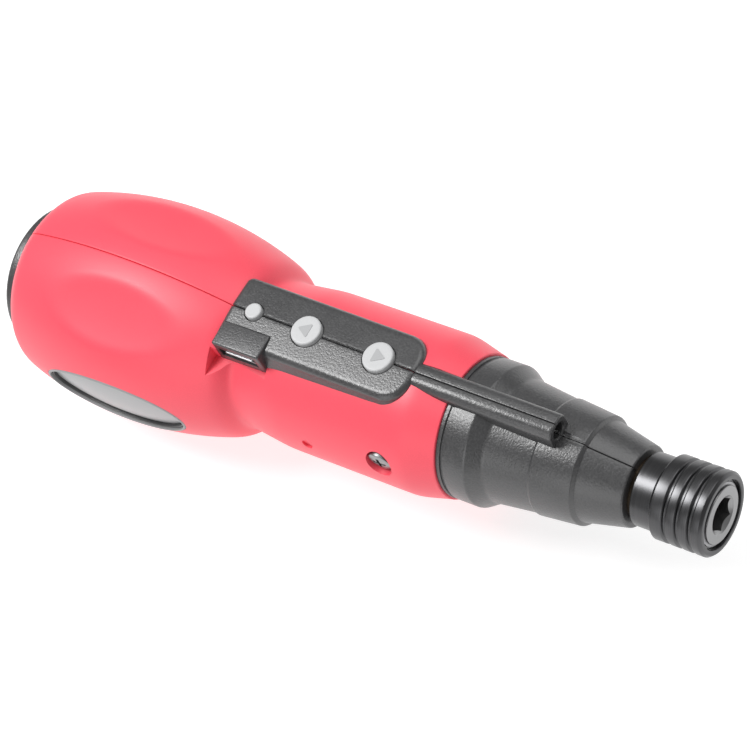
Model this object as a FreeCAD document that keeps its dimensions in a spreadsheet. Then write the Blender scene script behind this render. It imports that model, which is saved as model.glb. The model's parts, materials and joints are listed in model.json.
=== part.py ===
import FreeCAD, Part
import math
import os
from types import SimpleNamespace

import Sketcher
from FreeCAD import Placement, Rotation, Vector

# Cordless electric screwdriver with a quick-release chuck, in millimetres.
# The tool's axis is X, with the mouth of the bit socket at the origin and the bit pointing to +X.
# +Z is the side of the switch panel, and the two halves of each casing meet at the plane Y = 0.

SIZES = {
    # Bit socket and output spindle
    "socket_flats": 6.4,
    "socket_depth": 12.0,
    "socket_chamfer": 0.5,
    "magnet_radius": 2.5,
    "magnet_thickness": 2.0,
    "spindle_radius": 5.9,
    "spindle_head_length": 15.6,
    "journal_radius": 4.5,
    "drive_square": 5.6,
    "drive_length": 4.4,
    # Quick-release chuck
    "sleeve_length": 16.0,
    "sleeve_radius": 8.5,
    "sleeve_band_length": 11.0,
    "sleeve_neck_radius": 7.4,
    "sleeve_step_length": 0.7,
    "sleeve_chamfer": 0.6,
    "sleeve_groove_width": 0.8,
    "sleeve_groove_depth": 0.45,
    "sleeve_groove_pitch": 2.7,
    "sleeve_first_groove": 2.2,
    "sleeve_chamber_radius": 7.0,
    "sleeve_chamber_depth": 6.4,
    "lock_land_length": 2.6,
    "release_recess_length": 3.2,
    "release_recess_depth": 0.75,
    "sleeve_running_gap": 0.1,
    "ball_radius": 1.75,
    "ball_back": 8.0,
    "ball_gap": 0.06,
    "ball_seat_radius": 1.5,
    "ball_seat_height": 2.9,
    "ring_back": 0.6,
    "ring_thickness": 0.6,
    "ring_width": 1.0,
    "ring_groove_depth": 0.4,
    "ring_opening": 2.4,
    "chuck_washer_thickness": 0.5,
    "spring_wire_radius": 0.25,
    "spring_turns": 3.0,
    # Spindle bearings
    "bush_wall": 1.8,
    "front_bush_length": 9.0,
    "rear_bush_length": 6.0,
    "bush_spacing": 12.0,
    "thrust_washer_thickness": 0.6,
    "end_float": 0.1,
    "clip_thickness": 0.6,
    "clip_width": 1.5,
    "clip_groove_depth": 0.5,
    "running_gap": 0.04,
    "seat_gap": 0.03,
    # Nose casing
    "sleeve_gap": 1.0,
    "nose_front_radius": 8.2,
    "nose_tip_length": 9.3,
    "nose_tip_radius": 10.25,
    "nose_step_length": 0.5,
    "collar_length": 8.6,
    "collar_front_radius": 11.1,
    "collar_rear_radius": 11.9,
    "barrel_length": 9.6,
    "barrel_front_radius": 11.6,
    "barrel_rear_radius": 12.7,
    "flare_length": 3.0,
    "band_length": 6.5,
    "band_radius": 14.6,
    "band_groove_width": 0.5,
    "band_groove_depth": 0.3,
    "nose_hollow_radius": 5.4,
    "spigot_length": 6.0,
    "spigot_radius": 13.0,
    "seam_gap": 0.08,
    # Handle casing
    "handle_front_radius": 15.1,
    "handle_flare_length": 7.0,
    "body_radius": 16.75,
    "body_length": 31.0,
    "neck_length": 9.5,
    "neck_radius": 15.6,
    "neck_flat_length": 1.2,
    "shoulder_length": 3.6,
    "shoulder_arc_radius": 6.0,
    "bulb_front_length": 27.7,
    "bulb_rear_length": 24.4,
    "bulb_radius": 23.3,
    "bulb_arc_radius": 86.0,
    "bulb_end_length": 3.2,
    "bulb_end_radius": 15.6,
    "bulb_end_arc_radius": 12.0,
    "handle_wall": 2.2,
    "rib_thickness": 1.6,
    "dimple_depth": 1.3,
    "dimple_curve_radius": 60.0,
    "dimple_spacing": 60.0,
    # End cap
    "cap_radius": 15.3,
    "cap_edge_length": 2.3,
    "cap_dome_height": 4.0,
    "cap_spigot_radius": 9.4,
    "cap_spigot_length": 2.0,
    "cap_wall": 1.8,
    # Oval plate on the side of the bulb
    "plate_length": 38.5,
    "plate_width": 17.0,
    "plate_back": 3.5,
    "plate_recess_depth": 0.9,
    "plate_sink": 0.35,
    "bezel_width": 0.9,
    "bezel_sink": 0.05,
    # Casing screw and blind hole in the right half
    "screw_back": 12.4,
    "screw_height": 4.8,
    "screw_head_radius": 2.5,
    "screw_head_height": 1.7,
    "screw_radius": 1.25,
    "screw_length": 6.0,
    "screw_pocket_radius": 2.75,
    "screw_boss_wall": 0.75,
    "screw_boss_depth": 5.2,
    "screw_seat_depth": 3.0,
    "blind_hole_back": 30.5,
    "blind_hole_height": 2.4,
    "blind_hole_radius": 1.1,
    "blind_hole_depth": 1.2,
    # Lamp tube on top of the nose
    "lamp_tube_radius": 2.9,
    "lamp_bore_radius": 1.7,
    "lamp_channel_radius": 1.25,
    "lamp_tube_length": 31.6,
    "lamp_tube_corner_radius": 1.9,
    "lamp_tube_entry": 0.5,
    "lamp_rear_height": 14.25,
    "lamp_back": 3.4,
    "led_radius": 1.5,
    "led_length": 5.0,
    "led_flange_radius": 1.65,
    "led_flange_length": 1.0,
    "lamp_lead_radius": 0.35,
    "lamp_lead_spacing": 1.3,
    # Switch panel
    "panel_length": 44.8,
    "panel_half_width": 7.5,
    "panel_rise": 0.8,
    "panel_tilt": 1.9,
    "panel_roof_fall": 0.6,
    "panel_overlap": 0.3,
    "panel_front_arc_radius": 5.5,
    "panel_depth": 8.0,
    "panel_draft": 16.0,
    "panel_wall": 1.4,
    "panel_edge_radius": 0.8,
    "panel_fit_gap": 0.05,
    "opening_half_width": 7.4,
    "opening_lead": 0.9,
    # Charge port
    "port_box_length": 10.6,
    "port_box_reach": 8.9,
    "port_box_inner": 3.5,
    "port_box_rise": 1.5,
    "usb_back": 2.0,
    "usb_length": 7.8,
    "usb_height": 2.5,
    "usb_depth": 5.0,
    "usb_wall": 0.3,
    "usb_sink": 0.2,
    "usb_tongue_length": 5.6,
    "usb_tongue_thickness": 0.6,
    "usb_tongue_reach": 3.6,
    "plug_notch_length": 1.2,
    "plug_notch_reach": 16.0,
    "plug_notch_wall": 1.2,
    # Buttons, switches and circuit board
    "board_thickness": 1.0,
    "board_half_width": 7.2,
    "board_back": 2.0,
    "board_clearance": 0.2,
    "board_over_motor": 0.6,
    "switch_height": 1.1,
    "switch_side": 5.0,
    "lamp_switch_side": 4.0,
    "plunger_radius": 1.0,
    "plunger_height": 0.5,
    "plunger_sunk": 0.45,
    "switch_floor": 0.2,
    "forward_button_back": 8.7,
    "button_radius": 3.25,
    "lamp_button_radius": 1.8,
    "button_proud": 0.85,
    "button_flange_width": 0.7,
    "button_flange_gap": 0.05,
    "button_hole_gap": 0.13,
    "button_edge_radius": 0.35,
    "chip_length": 5.0,
    "chip_width": 4.0,
    "chip_height": 1.1,
    # Planetary gears
    "gear_module": 0.4,
    "sun_teeth": 9.0,
    "planet_teeth": 18.0,
    "pressure_angle": 25.0,
    "addendum_share": 0.8,
    "dedendum_share": 1.05,
    "tooth_thinning": 0.08,
    "ring_gear_wall": 1.8,
    "ring_gear_lead": 2.4,
    "gear_width": 5.0,
    "gear_side_gap": 0.3,
    "carrier_thickness": 2.2,
    "carrier_hub_radius": 5.0,
    "carrier_rim_gap": 0.4,
    "planet_pin_radius": 1.0,
    "sun_hub_radius": 2.3,
    # Gear plate and motor
    "gear_plate_thickness": 9.0,
    "gear_plate_rim_gap": 0.15,
    "motor_radius": 12.2,
    "motor_length": 30.8,
    "motor_wall": 1.0,
    "motor_boss_radius": 3.2,
    "motor_boss_length": 2.8,
    "motor_shaft_radius": 1.0,
    "end_bell_length": 3.2,
    "end_bell_plug_length": 1.5,
    "magnet_gap": 0.1,
    "magnet_depth": 1.6,
    "magnet_length": 19.0,
    "magnet_inset": 3.0,
    "magnet_split": 8.0,
    "air_gap": 0.5,
    "armature_length": 17.0,
    "armature_slot_radius": 1.5,
    "armature_hub_radius": 5.5,
    "armature_hub_length": 2.0,
    "commutator_radius": 2.7,
    "commutator_length": 2.6,
    "brush_thickness": 0.8,
    "brush_width": 2.4,
    "brush_gap": 0.05,
    "gear_screw_radius": 1.2,
    "gear_screw_head_radius": 2.0,
    "gear_screw_head_height": 1.3,
    "gear_screw_offset": 8.0,
    "gear_screw_bite": 2.0,
    # Battery and leads
    "battery_radius": 9.15,
    "battery_length": 49.0,
    "battery_stop_gap": 0.3,
    "battery_stop_radius": 7.0,
    "battery_back": 2.0,
    "tab_thickness": 0.25,
    "tab_width": 5.0,
    "lead_radius": 0.55,
    "motor_lead_bend_radius": 1.2,
    "lead_offset": 2.6,
    "lead_slot_half_width": 4.2,
    "lead_slot_gap": 0.2,
    # One overrun serves every cut
    "overrun": 2.0,
}

doc = FreeCAD.newDocument("electric_screwdriver")
sheet = doc.addObject("Spreadsheet::Sheet", "Sizes")
for row, (alias, number) in enumerate(SIZES.items(), start=1):
    sheet.set(f"A{row}", alias)
    sheet.set(f"B{row}", repr(number))
    sheet.setAlias(f"B{row}", alias)
doc.recompute()


class Size:
    """A value together with the sheet expression that gives it, so that sums feed both."""

    def __init__(self, text, value):
        self.text = text
        self.value = value

    def __add__(self, other):
        other = as_size(other)
        return Size(f"({self.text} + {other.text})", self.value + other.value)

    def __sub__(self, other):
        other = as_size(other)
        return Size(f"({self.text} - {other.text})", self.value - other.value)

    def __mul__(self, other):
        other = as_size(other)
        return Size(f"({self.text} * {other.text})", self.value * other.value)

    def __truediv__(self, other):
        other = as_size(other)
        return Size(f"({self.text} / {other.text})", self.value / other.value)

    def __neg__(self):
        return Size(f"(0 - {self.text})", -self.value)

    __radd__ = __add__
    __rmul__ = __mul__


def as_size(item):
    if isinstance(item, Size):
        return item
    return Size(f"({item})", float(item))


def root_of(item):
    return Size(f"sqrt({item.text})", math.sqrt(item.value))


def sine(degrees):
    degrees = as_size(degrees)
    return Size(f"sin({degrees.text})", math.sin(math.radians(degrees.value)))


def cosine(degrees):
    degrees = as_size(degrees)
    return Size(f"cos({degrees.text})", math.cos(math.radians(degrees.value)))


size = SimpleNamespace(**{alias: Size(f"Sizes.{alias}", sheet.get(alias)) for alias in SIZES})
ZERO = as_size(0)


# Stations along the axis, counted back from the mouth of the socket

sleeve_rear = -size.sleeve_length
nose_front = sleeve_rear - size.sleeve_gap
tip_rear = nose_front - size.nose_tip_length
collar_front = tip_rear - size.nose_step_length
collar_rear = collar_front - size.collar_length
barrel_front = collar_rear - size.nose_step_length
barrel_rear = barrel_front - size.barrel_length
band_front = barrel_rear - size.flare_length
handle_front = band_front - size.band_length
spigot_rear = handle_front - size.spigot_length
body_front = handle_front - size.handle_flare_length
body_rear = body_front - size.body_length
neck_front = body_rear - size.neck_length
neck_rear = neck_front - size.neck_flat_length
bulb_front = neck_rear - size.shoulder_length
bulb_middle = bulb_front - size.bulb_front_length
bulb_rear = bulb_middle - size.bulb_rear_length
cap_front = bulb_rear - size.bulb_end_length
dome_front = cap_front - size.cap_edge_length
tool_rear = dome_front - size.cap_dome_height

spindle_shoulder = -size.spindle_head_length
front_bush_front = spindle_shoulder - size.end_float - size.thrust_washer_thickness - size.end_float
front_bush_rear = front_bush_front - size.front_bush_length
rear_bush_front = front_bush_rear - size.bush_spacing
rear_bush_rear = rear_bush_front - size.rear_bush_length
bush_radius = size.journal_radius + size.bush_wall
clip_front = rear_bush_rear - size.end_float
clip_rear = clip_front - size.clip_thickness
journal_rear = clip_rear - size.end_float
spindle_rear = journal_rear - size.drive_length

carrier_rear = spindle_rear
output_gear_front = carrier_rear - size.gear_side_gap
output_gear_rear = output_gear_front - size.gear_width
first_carrier_front = output_gear_rear - size.gear_side_gap
first_carrier_rear = first_carrier_front - size.carrier_thickness
input_gear_front = first_carrier_rear - size.gear_side_gap
input_gear_rear = input_gear_front - size.gear_width
gear_plate_front = input_gear_rear - size.gear_side_gap
gear_plate_rear = gear_plate_front - size.gear_plate_thickness
motor_rear = gear_plate_rear - size.motor_length
end_bell_front = motor_rear + size.end_bell_length
ring_gear_front = carrier_rear + size.ring_gear_lead

pitch_share = size.gear_module / 2
sun_pitch_radius = size.sun_teeth * pitch_share
planet_pitch_radius = size.planet_teeth * pitch_share
ring_teeth = size.sun_teeth + 2 * size.planet_teeth
ring_pitch_radius = ring_teeth * pitch_share
planet_centre = sun_pitch_radius + planet_pitch_radius
tooth_height = size.gear_module * size.addendum_share
tooth_depth = size.gear_module * size.dedendum_share
ring_gear_radius = ring_pitch_radius + tooth_depth + size.ring_gear_wall
carrier_radius = ring_pitch_radius - tooth_height - size.carrier_rim_gap

body_bore = size.body_radius - size.handle_wall
neck_bore = size.neck_radius - size.handle_wall
battery_front = bulb_front - size.battery_back
battery_rear = battery_front - size.battery_length

# The rear buttons' places along the panel, as shares of its length from the front
REVERSE_BUTTON_SHARE = 0.576
LAMP_BUTTON_SHARE = 0.864
panel_top = size.body_radius + size.panel_rise
panel_rear = bulb_front - size.panel_overlap
panel_front = panel_rear + size.panel_length
board_bottom = size.motor_radius + size.board_over_motor
board_top = board_bottom + size.board_thickness
board_front = panel_front - size.panel_front_arc_radius
board_rear = panel_rear + size.board_back
switch_top = board_top + size.switch_height
flange_bottom = switch_top + size.plunger_height
forward_button_at = panel_front - size.forward_button_back
reverse_button_at = panel_front - size.panel_length * REVERSE_BUTTON_SHARE
lamp_button_at = panel_front - size.panel_length * LAMP_BUTTON_SHARE
lead_level = (board_bottom + board_top) / 2
lamp_rear = panel_front - size.lamp_tube_entry


# Shared ways of making solids

def plane_of(owner, role):
    return next(item for item in owner.Origin.OriginFeatures if item.Role == role)


def new_body(label):
    return doc.addObject("PartDesign::Body", label)


def new_sketch(owner, role, name, lift=None):
    sketch = owner.newObject("Sketcher::SketchObject", name)
    sketch.AttachmentSupport = [(plane_of(owner, role), "")]
    sketch.MapMode = "FlatFace"
    if lift is not None:
        sketch.setExpression("AttachmentOffset.Base.z", lift.text)
    return sketch


def arc_between(start, end, radius, side):
    """The arc of a radius from start to end, bulging to the left (1) or to the right (-1) of that way."""
    chord = end - start
    left = Vector(-chord.y, chord.x, 0).normalize()
    sag = math.sqrt(radius ** 2 - (chord.Length / 2) ** 2)
    centre = (start + end) / 2 - left * (side * sag)
    first, last = (start, end) if side < 0 else (end, start)
    angles = [math.atan2(p.y - centre.y, p.x - centre.x) for p in (first, last)]
    return Part.ArcOfCircle(Part.Circle(centre, Vector(0, 0, 1), radius), angles[0], angles[1])


def bind_point(constraints, expressions, place, x, y):
    geometry, end = place
    for kind, item in (("DistanceX", x), ("DistanceY", y)):
        expressions.append((len(constraints), item.text))
        constraints.append(Sketcher.Constraint(kind, -1, 1, geometry, end, item.value))


def settle(sketch, constraints, expressions):
    first = sketch.ConstraintCount
    sketch.addConstraint(constraints)
    for index, text in expressions:
        sketch.setExpression(f"Constraints[{first + index}]", text)


def draw(sketch, corners, arcs=None):
    """A closed outline through corners of named sizes. An arc, given by its radius and the side it bulges to,
    leaves the corner whose number it is listed under."""
    arcs = arcs or {}
    points = [Vector(x.value, y.value, 0) for x, y in corners]
    first = sketch.GeometryCount
    count = len(points)
    shapes, starts, ends = [], [], []
    for index, start in enumerate(points):
        end = points[(index + 1) % count]
        backward = False
        if index in arcs:
            radius, side = arcs[index]
            shapes.append(arc_between(start, end, radius.value, side))
            backward = side > 0
        else:
            shapes.append(Part.LineSegment(start, end))
        starts.append((first + index, 2 if backward else 1))
        ends.append((first + index, 1 if backward else 2))
    sketch.addGeometry(shapes, False)
    constraints, expressions = [], []
    for index in range(count):
        constraints.append(Sketcher.Constraint("Coincident", *ends[index], *starts[(index + 1) % count]))
    for index, (x, y) in enumerate(corners):
        bind_point(constraints, expressions, starts[index], x, y)
    for index, (radius, _) in arcs.items():
        expressions.append((len(constraints), radius.text))
        constraints.append(Sketcher.Constraint("Radius", first + index, radius.value))
    settle(sketch, constraints, expressions)


def draw_circles(sketch, circles):
    """Circles given by the place of their centre and their radius."""
    constraints, expressions = [], []
    for x, y, radius in circles:
        number = sketch.addGeometry(
            Part.Circle(Vector(x.value, y.value, 0), Vector(0, 0, 1), radius.value), False)
        bind_point(constraints, expressions, (number, 3), x, y)
        expressions.append((len(constraints), radius.text))
        constraints.append(Sketcher.Constraint("Radius", number, radius.value))
    settle(sketch, constraints, expressions)


def turn_in(owner, corners, arcs=None, role="XZ_Plane", axis="H_Axis"):
    sketch = new_sketch(owner, role, owner.Name + "_profile")
    draw(sketch, corners, arcs)
    turned = owner.newObject("PartDesign::Revolution", owner.Name + "_turned")
    turned.Profile = sketch
    turned.ReferenceAxis = (sketch, [axis])
    turned.Angle = 360
    return owner


def turned_body(label, corners, arcs=None):
    """A piece turned about the tool's axis from a profile of (station, radius) corners."""
    return turn_in(new_body(label), corners, arcs)


def sleeve_like(label, front, rear, inner, outer):
    return turned_body(label, [(front, inner), (front, outer), (rear, outer), (rear, inner)])


def swept(owner, kind, sketch, length, back=False):
    """A pad or pocket of a sketch. Going back means against the way that the kind goes by itself."""
    feature = owner.newObject(f"PartDesign::{kind}", f"{sketch.Name}_{kind.lower()}")
    feature.Profile = sketch
    feature.setExpression("Length", length.text)
    feature.Reversed = back
    return feature


def at(item, x=ZERO, y=ZERO, z=ZERO):
    for axis, place in (("x", x), ("y", y), ("z", z)):
        item.setExpression(f"Placement.Base.{axis}", place.text)
    return item


def block(name, low, high):
    """A box between two opposite corners."""
    item = doc.addObject("Part::Box", name)
    for side, start, end in zip(("Length", "Width", "Height"), low, high):
        item.setExpression(side, (end - start).text)
    return at(item, *low)


TURN_TO = {
    "x": Rotation(Vector(0, 1, 0), 90),
    "y": Rotation(Vector(1, 0, 0), -90),
    "z": Rotation(),
}


def rod(name, way, radius, length, x=ZERO, y=ZERO, z=ZERO):
    """A cylinder that starts at a point and runs along +X, +Y or +Z."""
    item = doc.addObject("Part::Cylinder", name)
    item.Placement = Placement(Vector(), TURN_TO[way])
    item.setExpression("Radius", radius.text)
    item.setExpression("Height", length.text)
    return at(item, x, y, z)


def joined(label, *items):
    result = doc.addObject("Part::MultiFuse", label)
    result.Shapes = list(items)
    return result


def cut(label, base, *tools):
    result = doc.addObject("Part::Cut", label)
    result.Base = base
    result.Tool = tools[0] if len(tools) == 1 else joined(label + "_tools", *tools)
    return result


def shared(label, base, tool):
    result = doc.addObject("Part::Common", label)
    result.Base = base
    result.Tool = tool
    return result


def made(label, shape):
    result = doc.addObject("Part::Feature", label)
    result.Shape = shape
    return result


half_reach = size.bulb_radius + size.overrun * 2
half_seam = size.seam_gap / 2
left_side = block("left_side", (tool_rear - size.overrun, half_seam, -half_reach),
                  (size.overrun, half_reach, half_reach))
right_side = block("right_side", (tool_rear - size.overrun, -half_reach, -half_reach),
                   (size.overrun, -half_seam, half_reach))


def halves(name, whole_left, whole_right):
    return [shared(name + "_left", whole_left, left_side), shared(name + "_right", whole_right, right_side)]


def bulb_outer(x, inset=ZERO):
    """Radius of the bulb at a station, drawn in by an inset."""
    arc = size.bulb_arc_radius - inset
    run = x - bulb_middle
    return size.bulb_radius - size.bulb_arc_radius + root_of(arc * arc - run * run)


def handle_outline(grow):
    """Corners of the handle's outside from its front edge to the edge of the end cap, grown outwards."""
    corners = [
        (handle_front, size.handle_front_radius + grow),
        (body_front, size.body_radius + grow),
        (body_rear, size.body_radius + grow),
        (neck_front, size.neck_radius + grow),
        (neck_rear, size.neck_radius + grow),
        (bulb_front, bulb_outer(bulb_front, -grow)),
        (bulb_rear, bulb_outer(bulb_rear, -grow)),
        (cap_front, size.bulb_end_radius + grow),
    ]
    arcs = {
        4: (size.shoulder_arc_radius + grow, -1),
        5: (size.bulb_arc_radius + grow, -1),
        6: (size.bulb_end_arc_radius + grow, -1),
    }
    return corners, arcs


def handle_envelope(name, grow):
    """A full solid of the handle's outside, grown outwards, for trimming what lies on the handle."""
    corners, arcs = handle_outline(grow)
    corners = corners + [(cap_front, ZERO), (handle_front, ZERO)]
    return turned_body(name, corners, arcs)


# Chuck and output spindle

SLEEVE_GROOVES = 3
sleeve_bore = size.spindle_radius + size.sleeve_running_gap
ring_front = -size.ring_back
ring_rear = ring_front - size.ring_thickness
ring_inner = size.spindle_radius - size.ring_groove_depth
washer_rear = ring_rear - size.chuck_washer_thickness
chamber_rear = -size.sleeve_chamber_depth


def make_chuck_sleeve():
    """A turned sleeve with grip grooves, a spring chamber, the lock land and the release recess."""
    outer = size.sleeve_radius
    floor = outer - size.sleeve_groove_depth
    corners = [
        (ZERO, size.sleeve_chamber_radius),
        (ZERO, outer - size.sleeve_chamfer),
        (-size.sleeve_chamfer, outer),
    ]
    for number in range(SLEEVE_GROOVES):
        front = -(size.sleeve_first_groove + number * size.sleeve_groove_pitch)
        rear = front - size.sleeve_groove_width
        corners += [(front, outer), (front, floor), (rear, floor), (rear, outer)]
    band_rear = -size.sleeve_band_length
    land_rear = chamber_rear - size.lock_land_length
    recess_rear = land_rear - size.release_recess_length
    recess_radius = sleeve_bore + size.release_recess_depth
    corners += [
        (band_rear, outer),
        (band_rear - size.sleeve_step_length, size.sleeve_neck_radius),
        (sleeve_rear, size.sleeve_neck_radius),
        (sleeve_rear, sleeve_bore),
        (recess_rear, sleeve_bore),
        (recess_rear, recess_radius),
        (land_rear, recess_radius),
        (land_rear, sleeve_bore),
        (chamber_rear, sleeve_bore),
        (chamber_rear, size.sleeve_chamber_radius),
    ]
    return turned_body("chuck_sleeve", corners)


def make_output_spindle():
    """A stepped spindle with the hex bit socket, the ball's seat, ring grooves and a square tail."""
    clip_floor = size.journal_radius - size.clip_groove_depth
    spindle = turned_body("output_spindle", [
        (ZERO, ZERO),
        (ZERO, size.spindle_radius),
        (ring_front, size.spindle_radius),
        (ring_front, ring_inner),
        (ring_rear, ring_inner),
        (ring_rear, size.spindle_radius),
        (spindle_shoulder, size.spindle_radius),
        (spindle_shoulder, size.journal_radius),
        (clip_front, size.journal_radius),
        (clip_front, clip_floor),
        (clip_rear, clip_floor),
        (clip_rear, size.journal_radius),
        (journal_rear, size.journal_radius),
        (journal_rear, ZERO),
    ])
    half = size.drive_square / 2
    tail = new_sketch(spindle, "YZ_Plane", "drive_square_outline", journal_rear)
    draw(tail, [(-half, -half), (half, -half), (half, half), (-half, half)])
    swept(spindle, "Pad", tail, size.drive_length, back=True)
    corner = size.socket_flats / root_of(as_size(3))
    hexagon = new_sketch(spindle, "YZ_Plane", "socket_outline")
    draw(hexagon, [(corner * cosine(60 * step), corner * sine(60 * step)) for step in range(6)])
    swept(spindle, "Pocket", hexagon, size.socket_depth)
    seat = new_sketch(spindle, "YZ_Plane", "magnet_seat_outline")
    draw_circles(seat, [(ZERO, ZERO, size.magnet_radius + size.seat_gap)])
    swept(spindle, "Pocket", seat, size.socket_depth + size.magnet_thickness)
    mouth = new_sketch(spindle, "XZ_Plane", "mouth_outline")
    narrow = corner - size.socket_chamfer
    draw(mouth, [(ZERO, ZERO), (ZERO, corner), (-size.socket_chamfer, narrow), (-size.socket_chamfer, ZERO)])
    flare = spindle.newObject("PartDesign::Groove", "mouth_groove")
    flare.Profile = mouth
    flare.ReferenceAxis = (mouth, ["H_Axis"])
    flare.Angle = 360
    way_in = new_sketch(spindle, "XY_Plane", "ball_window_outline")
    draw_circles(way_in, [(-size.ball_back, ZERO, size.ball_seat_radius)])
    swept(spindle, "Pocket", way_in, size.spindle_radius, back=True)
    hole = new_sketch(spindle, "XY_Plane", "ball_hole_outline", size.ball_seat_height)
    draw_circles(hole, [(-size.ball_back, ZERO, size.ball_radius + size.ball_gap)])
    swept(spindle, "Pocket", hole, size.spindle_radius, back=True)
    return spindle


def make_chuck_ball():
    ball = doc.addObject("Part::Sphere", "chuck_ball")
    ball.setExpression("Radius", size.ball_radius.text)
    return at(ball, x=-size.ball_back, z=sleeve_bore - size.ball_radius - size.ball_gap)


def make_chuck_ring():
    outer = ring_inner + size.ring_width
    blank = sleeve_like("chuck_ring_blank", ring_front, ring_rear, ring_inner, outer)
    half = size.ring_opening / 2
    opening = block("ring_gap", (ring_rear - size.overrun, -half, -(outer + size.overrun)),
                    (ring_front + size.overrun, half, ZERO))
    return cut("chuck_ring", blank, opening)


def make_chuck_washer():
    return sleeve_like("chuck_washer", ring_rear, washer_rear, size.spindle_radius + size.running_gap,
                       size.sleeve_chamber_radius - size.sleeve_running_gap)


TURN_PARTS = 4


def arc_from(start, corner, end):
    """The arc that leaves start towards a corner and ends where it looks away from that corner."""
    middle = (start + end) / 2
    rise = corner - middle
    half = (end - start).Length / 2
    sag = half * math.tan(math.atan2(rise.Length, half) / 2)
    return Part.Arc(start, middle + rise.normalize() * sag, end).toShape()


def arc_pair(start, leave, end, arrive):
    """Two arcs that meet smoothly and run from one point and direction to another."""
    across, both = end - start, leave + arrive
    square, slope = 2 * (1 - leave.dot(arrive)), 2 * across.dot(both)
    reach = (math.sqrt(slope ** 2 + 4 * square * across.dot(across)) - slope) / (2 * square)
    first, second = start + leave * reach, end - arrive * reach
    joint = (first + second) / 2
    return [arc_from(start, first, joint), arc_from(joint, second, end)]


def make_chuck_spring():
    """A round wire wound from the floor of the spring chamber to the washer, on smooth pairs of arcs."""
    wire = size.spring_wire_radius.value
    front = washer_rear.value - wire
    rear = chamber_rear.value + wire
    coil = (size.spindle_radius.value + size.sleeve_chamber_radius.value) / 2
    parts = round(size.spring_turns.value * TURN_PARTS)
    lead = (front - rear) / (2 * math.pi * size.spring_turns.value)
    knots = []
    for step in range(parts + 1):
        turn = 2 * math.pi * step / TURN_PARTS
        place = Vector(rear + lead * turn, coil * math.cos(turn), coil * math.sin(turn))
        knots.append((place, Vector(lead, -coil * math.sin(turn), coil * math.cos(turn)).normalize()))
    edges = []
    for (start, leave), (end, arrive) in zip(knots, knots[1:]):
        edges += arc_pair(start, leave, end, arrive)
    section = Part.Wire(Part.makeCircle(wire, *knots[0]))
    return made("chuck_spring", Part.Wire(edges).makePipeShell([section], True, False))


def make_bit_magnet():
    front = -size.socket_depth
    return rod("bit_magnet", "x", size.magnet_radius, size.magnet_thickness, x=front - size.magnet_thickness)


def make_bearings():
    """The two bushes, the thrust washer at the spindle's shoulder and the clip behind the rear bush."""
    bore = size.journal_radius + size.running_gap
    washer_front = spindle_shoulder - size.end_float
    clip_floor = size.journal_radius - size.clip_groove_depth
    clip_outer = clip_floor + size.clip_width
    blank = sleeve_like("spindle_clip_blank", clip_front, clip_rear, clip_floor, clip_outer)
    opening = block("clip_gap", (clip_rear - size.overrun, -clip_floor, -(clip_outer + size.overrun)),
                    (clip_front + size.overrun, clip_floor, ZERO))
    return [
        sleeve_like("front_bush", front_bush_front, front_bush_rear, bore, bush_radius),
        sleeve_like("rear_bush", rear_bush_front, rear_bush_rear, bore, bush_radius),
        sleeve_like("thrust_washer", washer_front, washer_front - size.thrust_washer_thickness, bore,
                    size.spindle_radius - size.sleeve_running_gap),
        cut("spindle_clip", blank, opening),
    ]


# Lamp tube: it leans forward, so its parts are placed by their distance along it

def along_lamp(run):
    return lamp_rear + run * cosine(size.panel_tilt), size.lamp_rear_height - run * sine(size.panel_tilt)


def lamp_rod(name, radius, start, end, y=ZERO):
    item = doc.addObject("Part::Cylinder", name)
    item.Placement = Placement(Vector(), TURN_TO["x"])
    item.setExpression("Radius", radius.text)
    item.setExpression("Height", (end - start).text)
    item.setExpression("Placement.Rotation.Angle", (size.panel_tilt + 90).text)
    x, z = along_lamp(start)
    return at(item, x, y, z)


def lamp_bar(name, gap):
    """The lamp tube's outside, grown by a gap: a bar with flat sides and rounded upper edges."""
    owner = new_body(name)
    half = size.lamp_tube_radius + gap
    arc = size.lamp_tube_corner_radius + gap
    sketch = new_sketch(owner, "YZ_Plane", name + "_outline")
    draw(sketch, [
        (-half, -half),
        (half, -half),
        (half, half - arc),
        (half - arc, half),
        (arc - half, half),
        (-half, half - arc),
    ], {2: (arc, -1), 4: (arc, -1)})
    swept(owner, "Pad", sketch, size.lamp_tube_length)
    owner.Placement = Placement(Vector(), Rotation(Vector(0, 1, 0), size.panel_tilt.value))
    owner.setExpression("Placement.Rotation.Angle", size.panel_tilt.text)
    x, z = along_lamp(ZERO)
    return at(owner, x=x, z=z)


led_start = size.lamp_tube_length - size.lamp_back - size.led_length
lamp_tube = lamp_bar("lamp_tube", ZERO)
lamp_tube_room = lamp_bar("lamp_tube_room", size.panel_fit_gap)
lamp_bore = lamp_rod("lamp_bore", size.lamp_bore_radius, led_start, size.lamp_tube_length + size.collar_length)
lamp_channel = lamp_rod("lamp_channel", size.lamp_channel_radius, board_front - lamp_rear, led_start)


def make_lamp_led():
    length, radius = size.led_length, size.led_radius
    led = turned_body("lamp_led", [
        (ZERO, ZERO),
        (ZERO, size.led_flange_radius),
        (size.led_flange_length, size.led_flange_radius),
        (size.led_flange_length, radius),
        (length - radius, radius),
        (length, ZERO),
    ], {4: (radius, 1)})
    led.Placement = Placement(Vector(), Rotation(Vector(0, 1, 0), size.panel_tilt.value))
    led.setExpression("Placement.Rotation.Angle", size.panel_tilt.text)
    x, z = along_lamp(led_start)
    return at(led, x=x, z=z)


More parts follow.
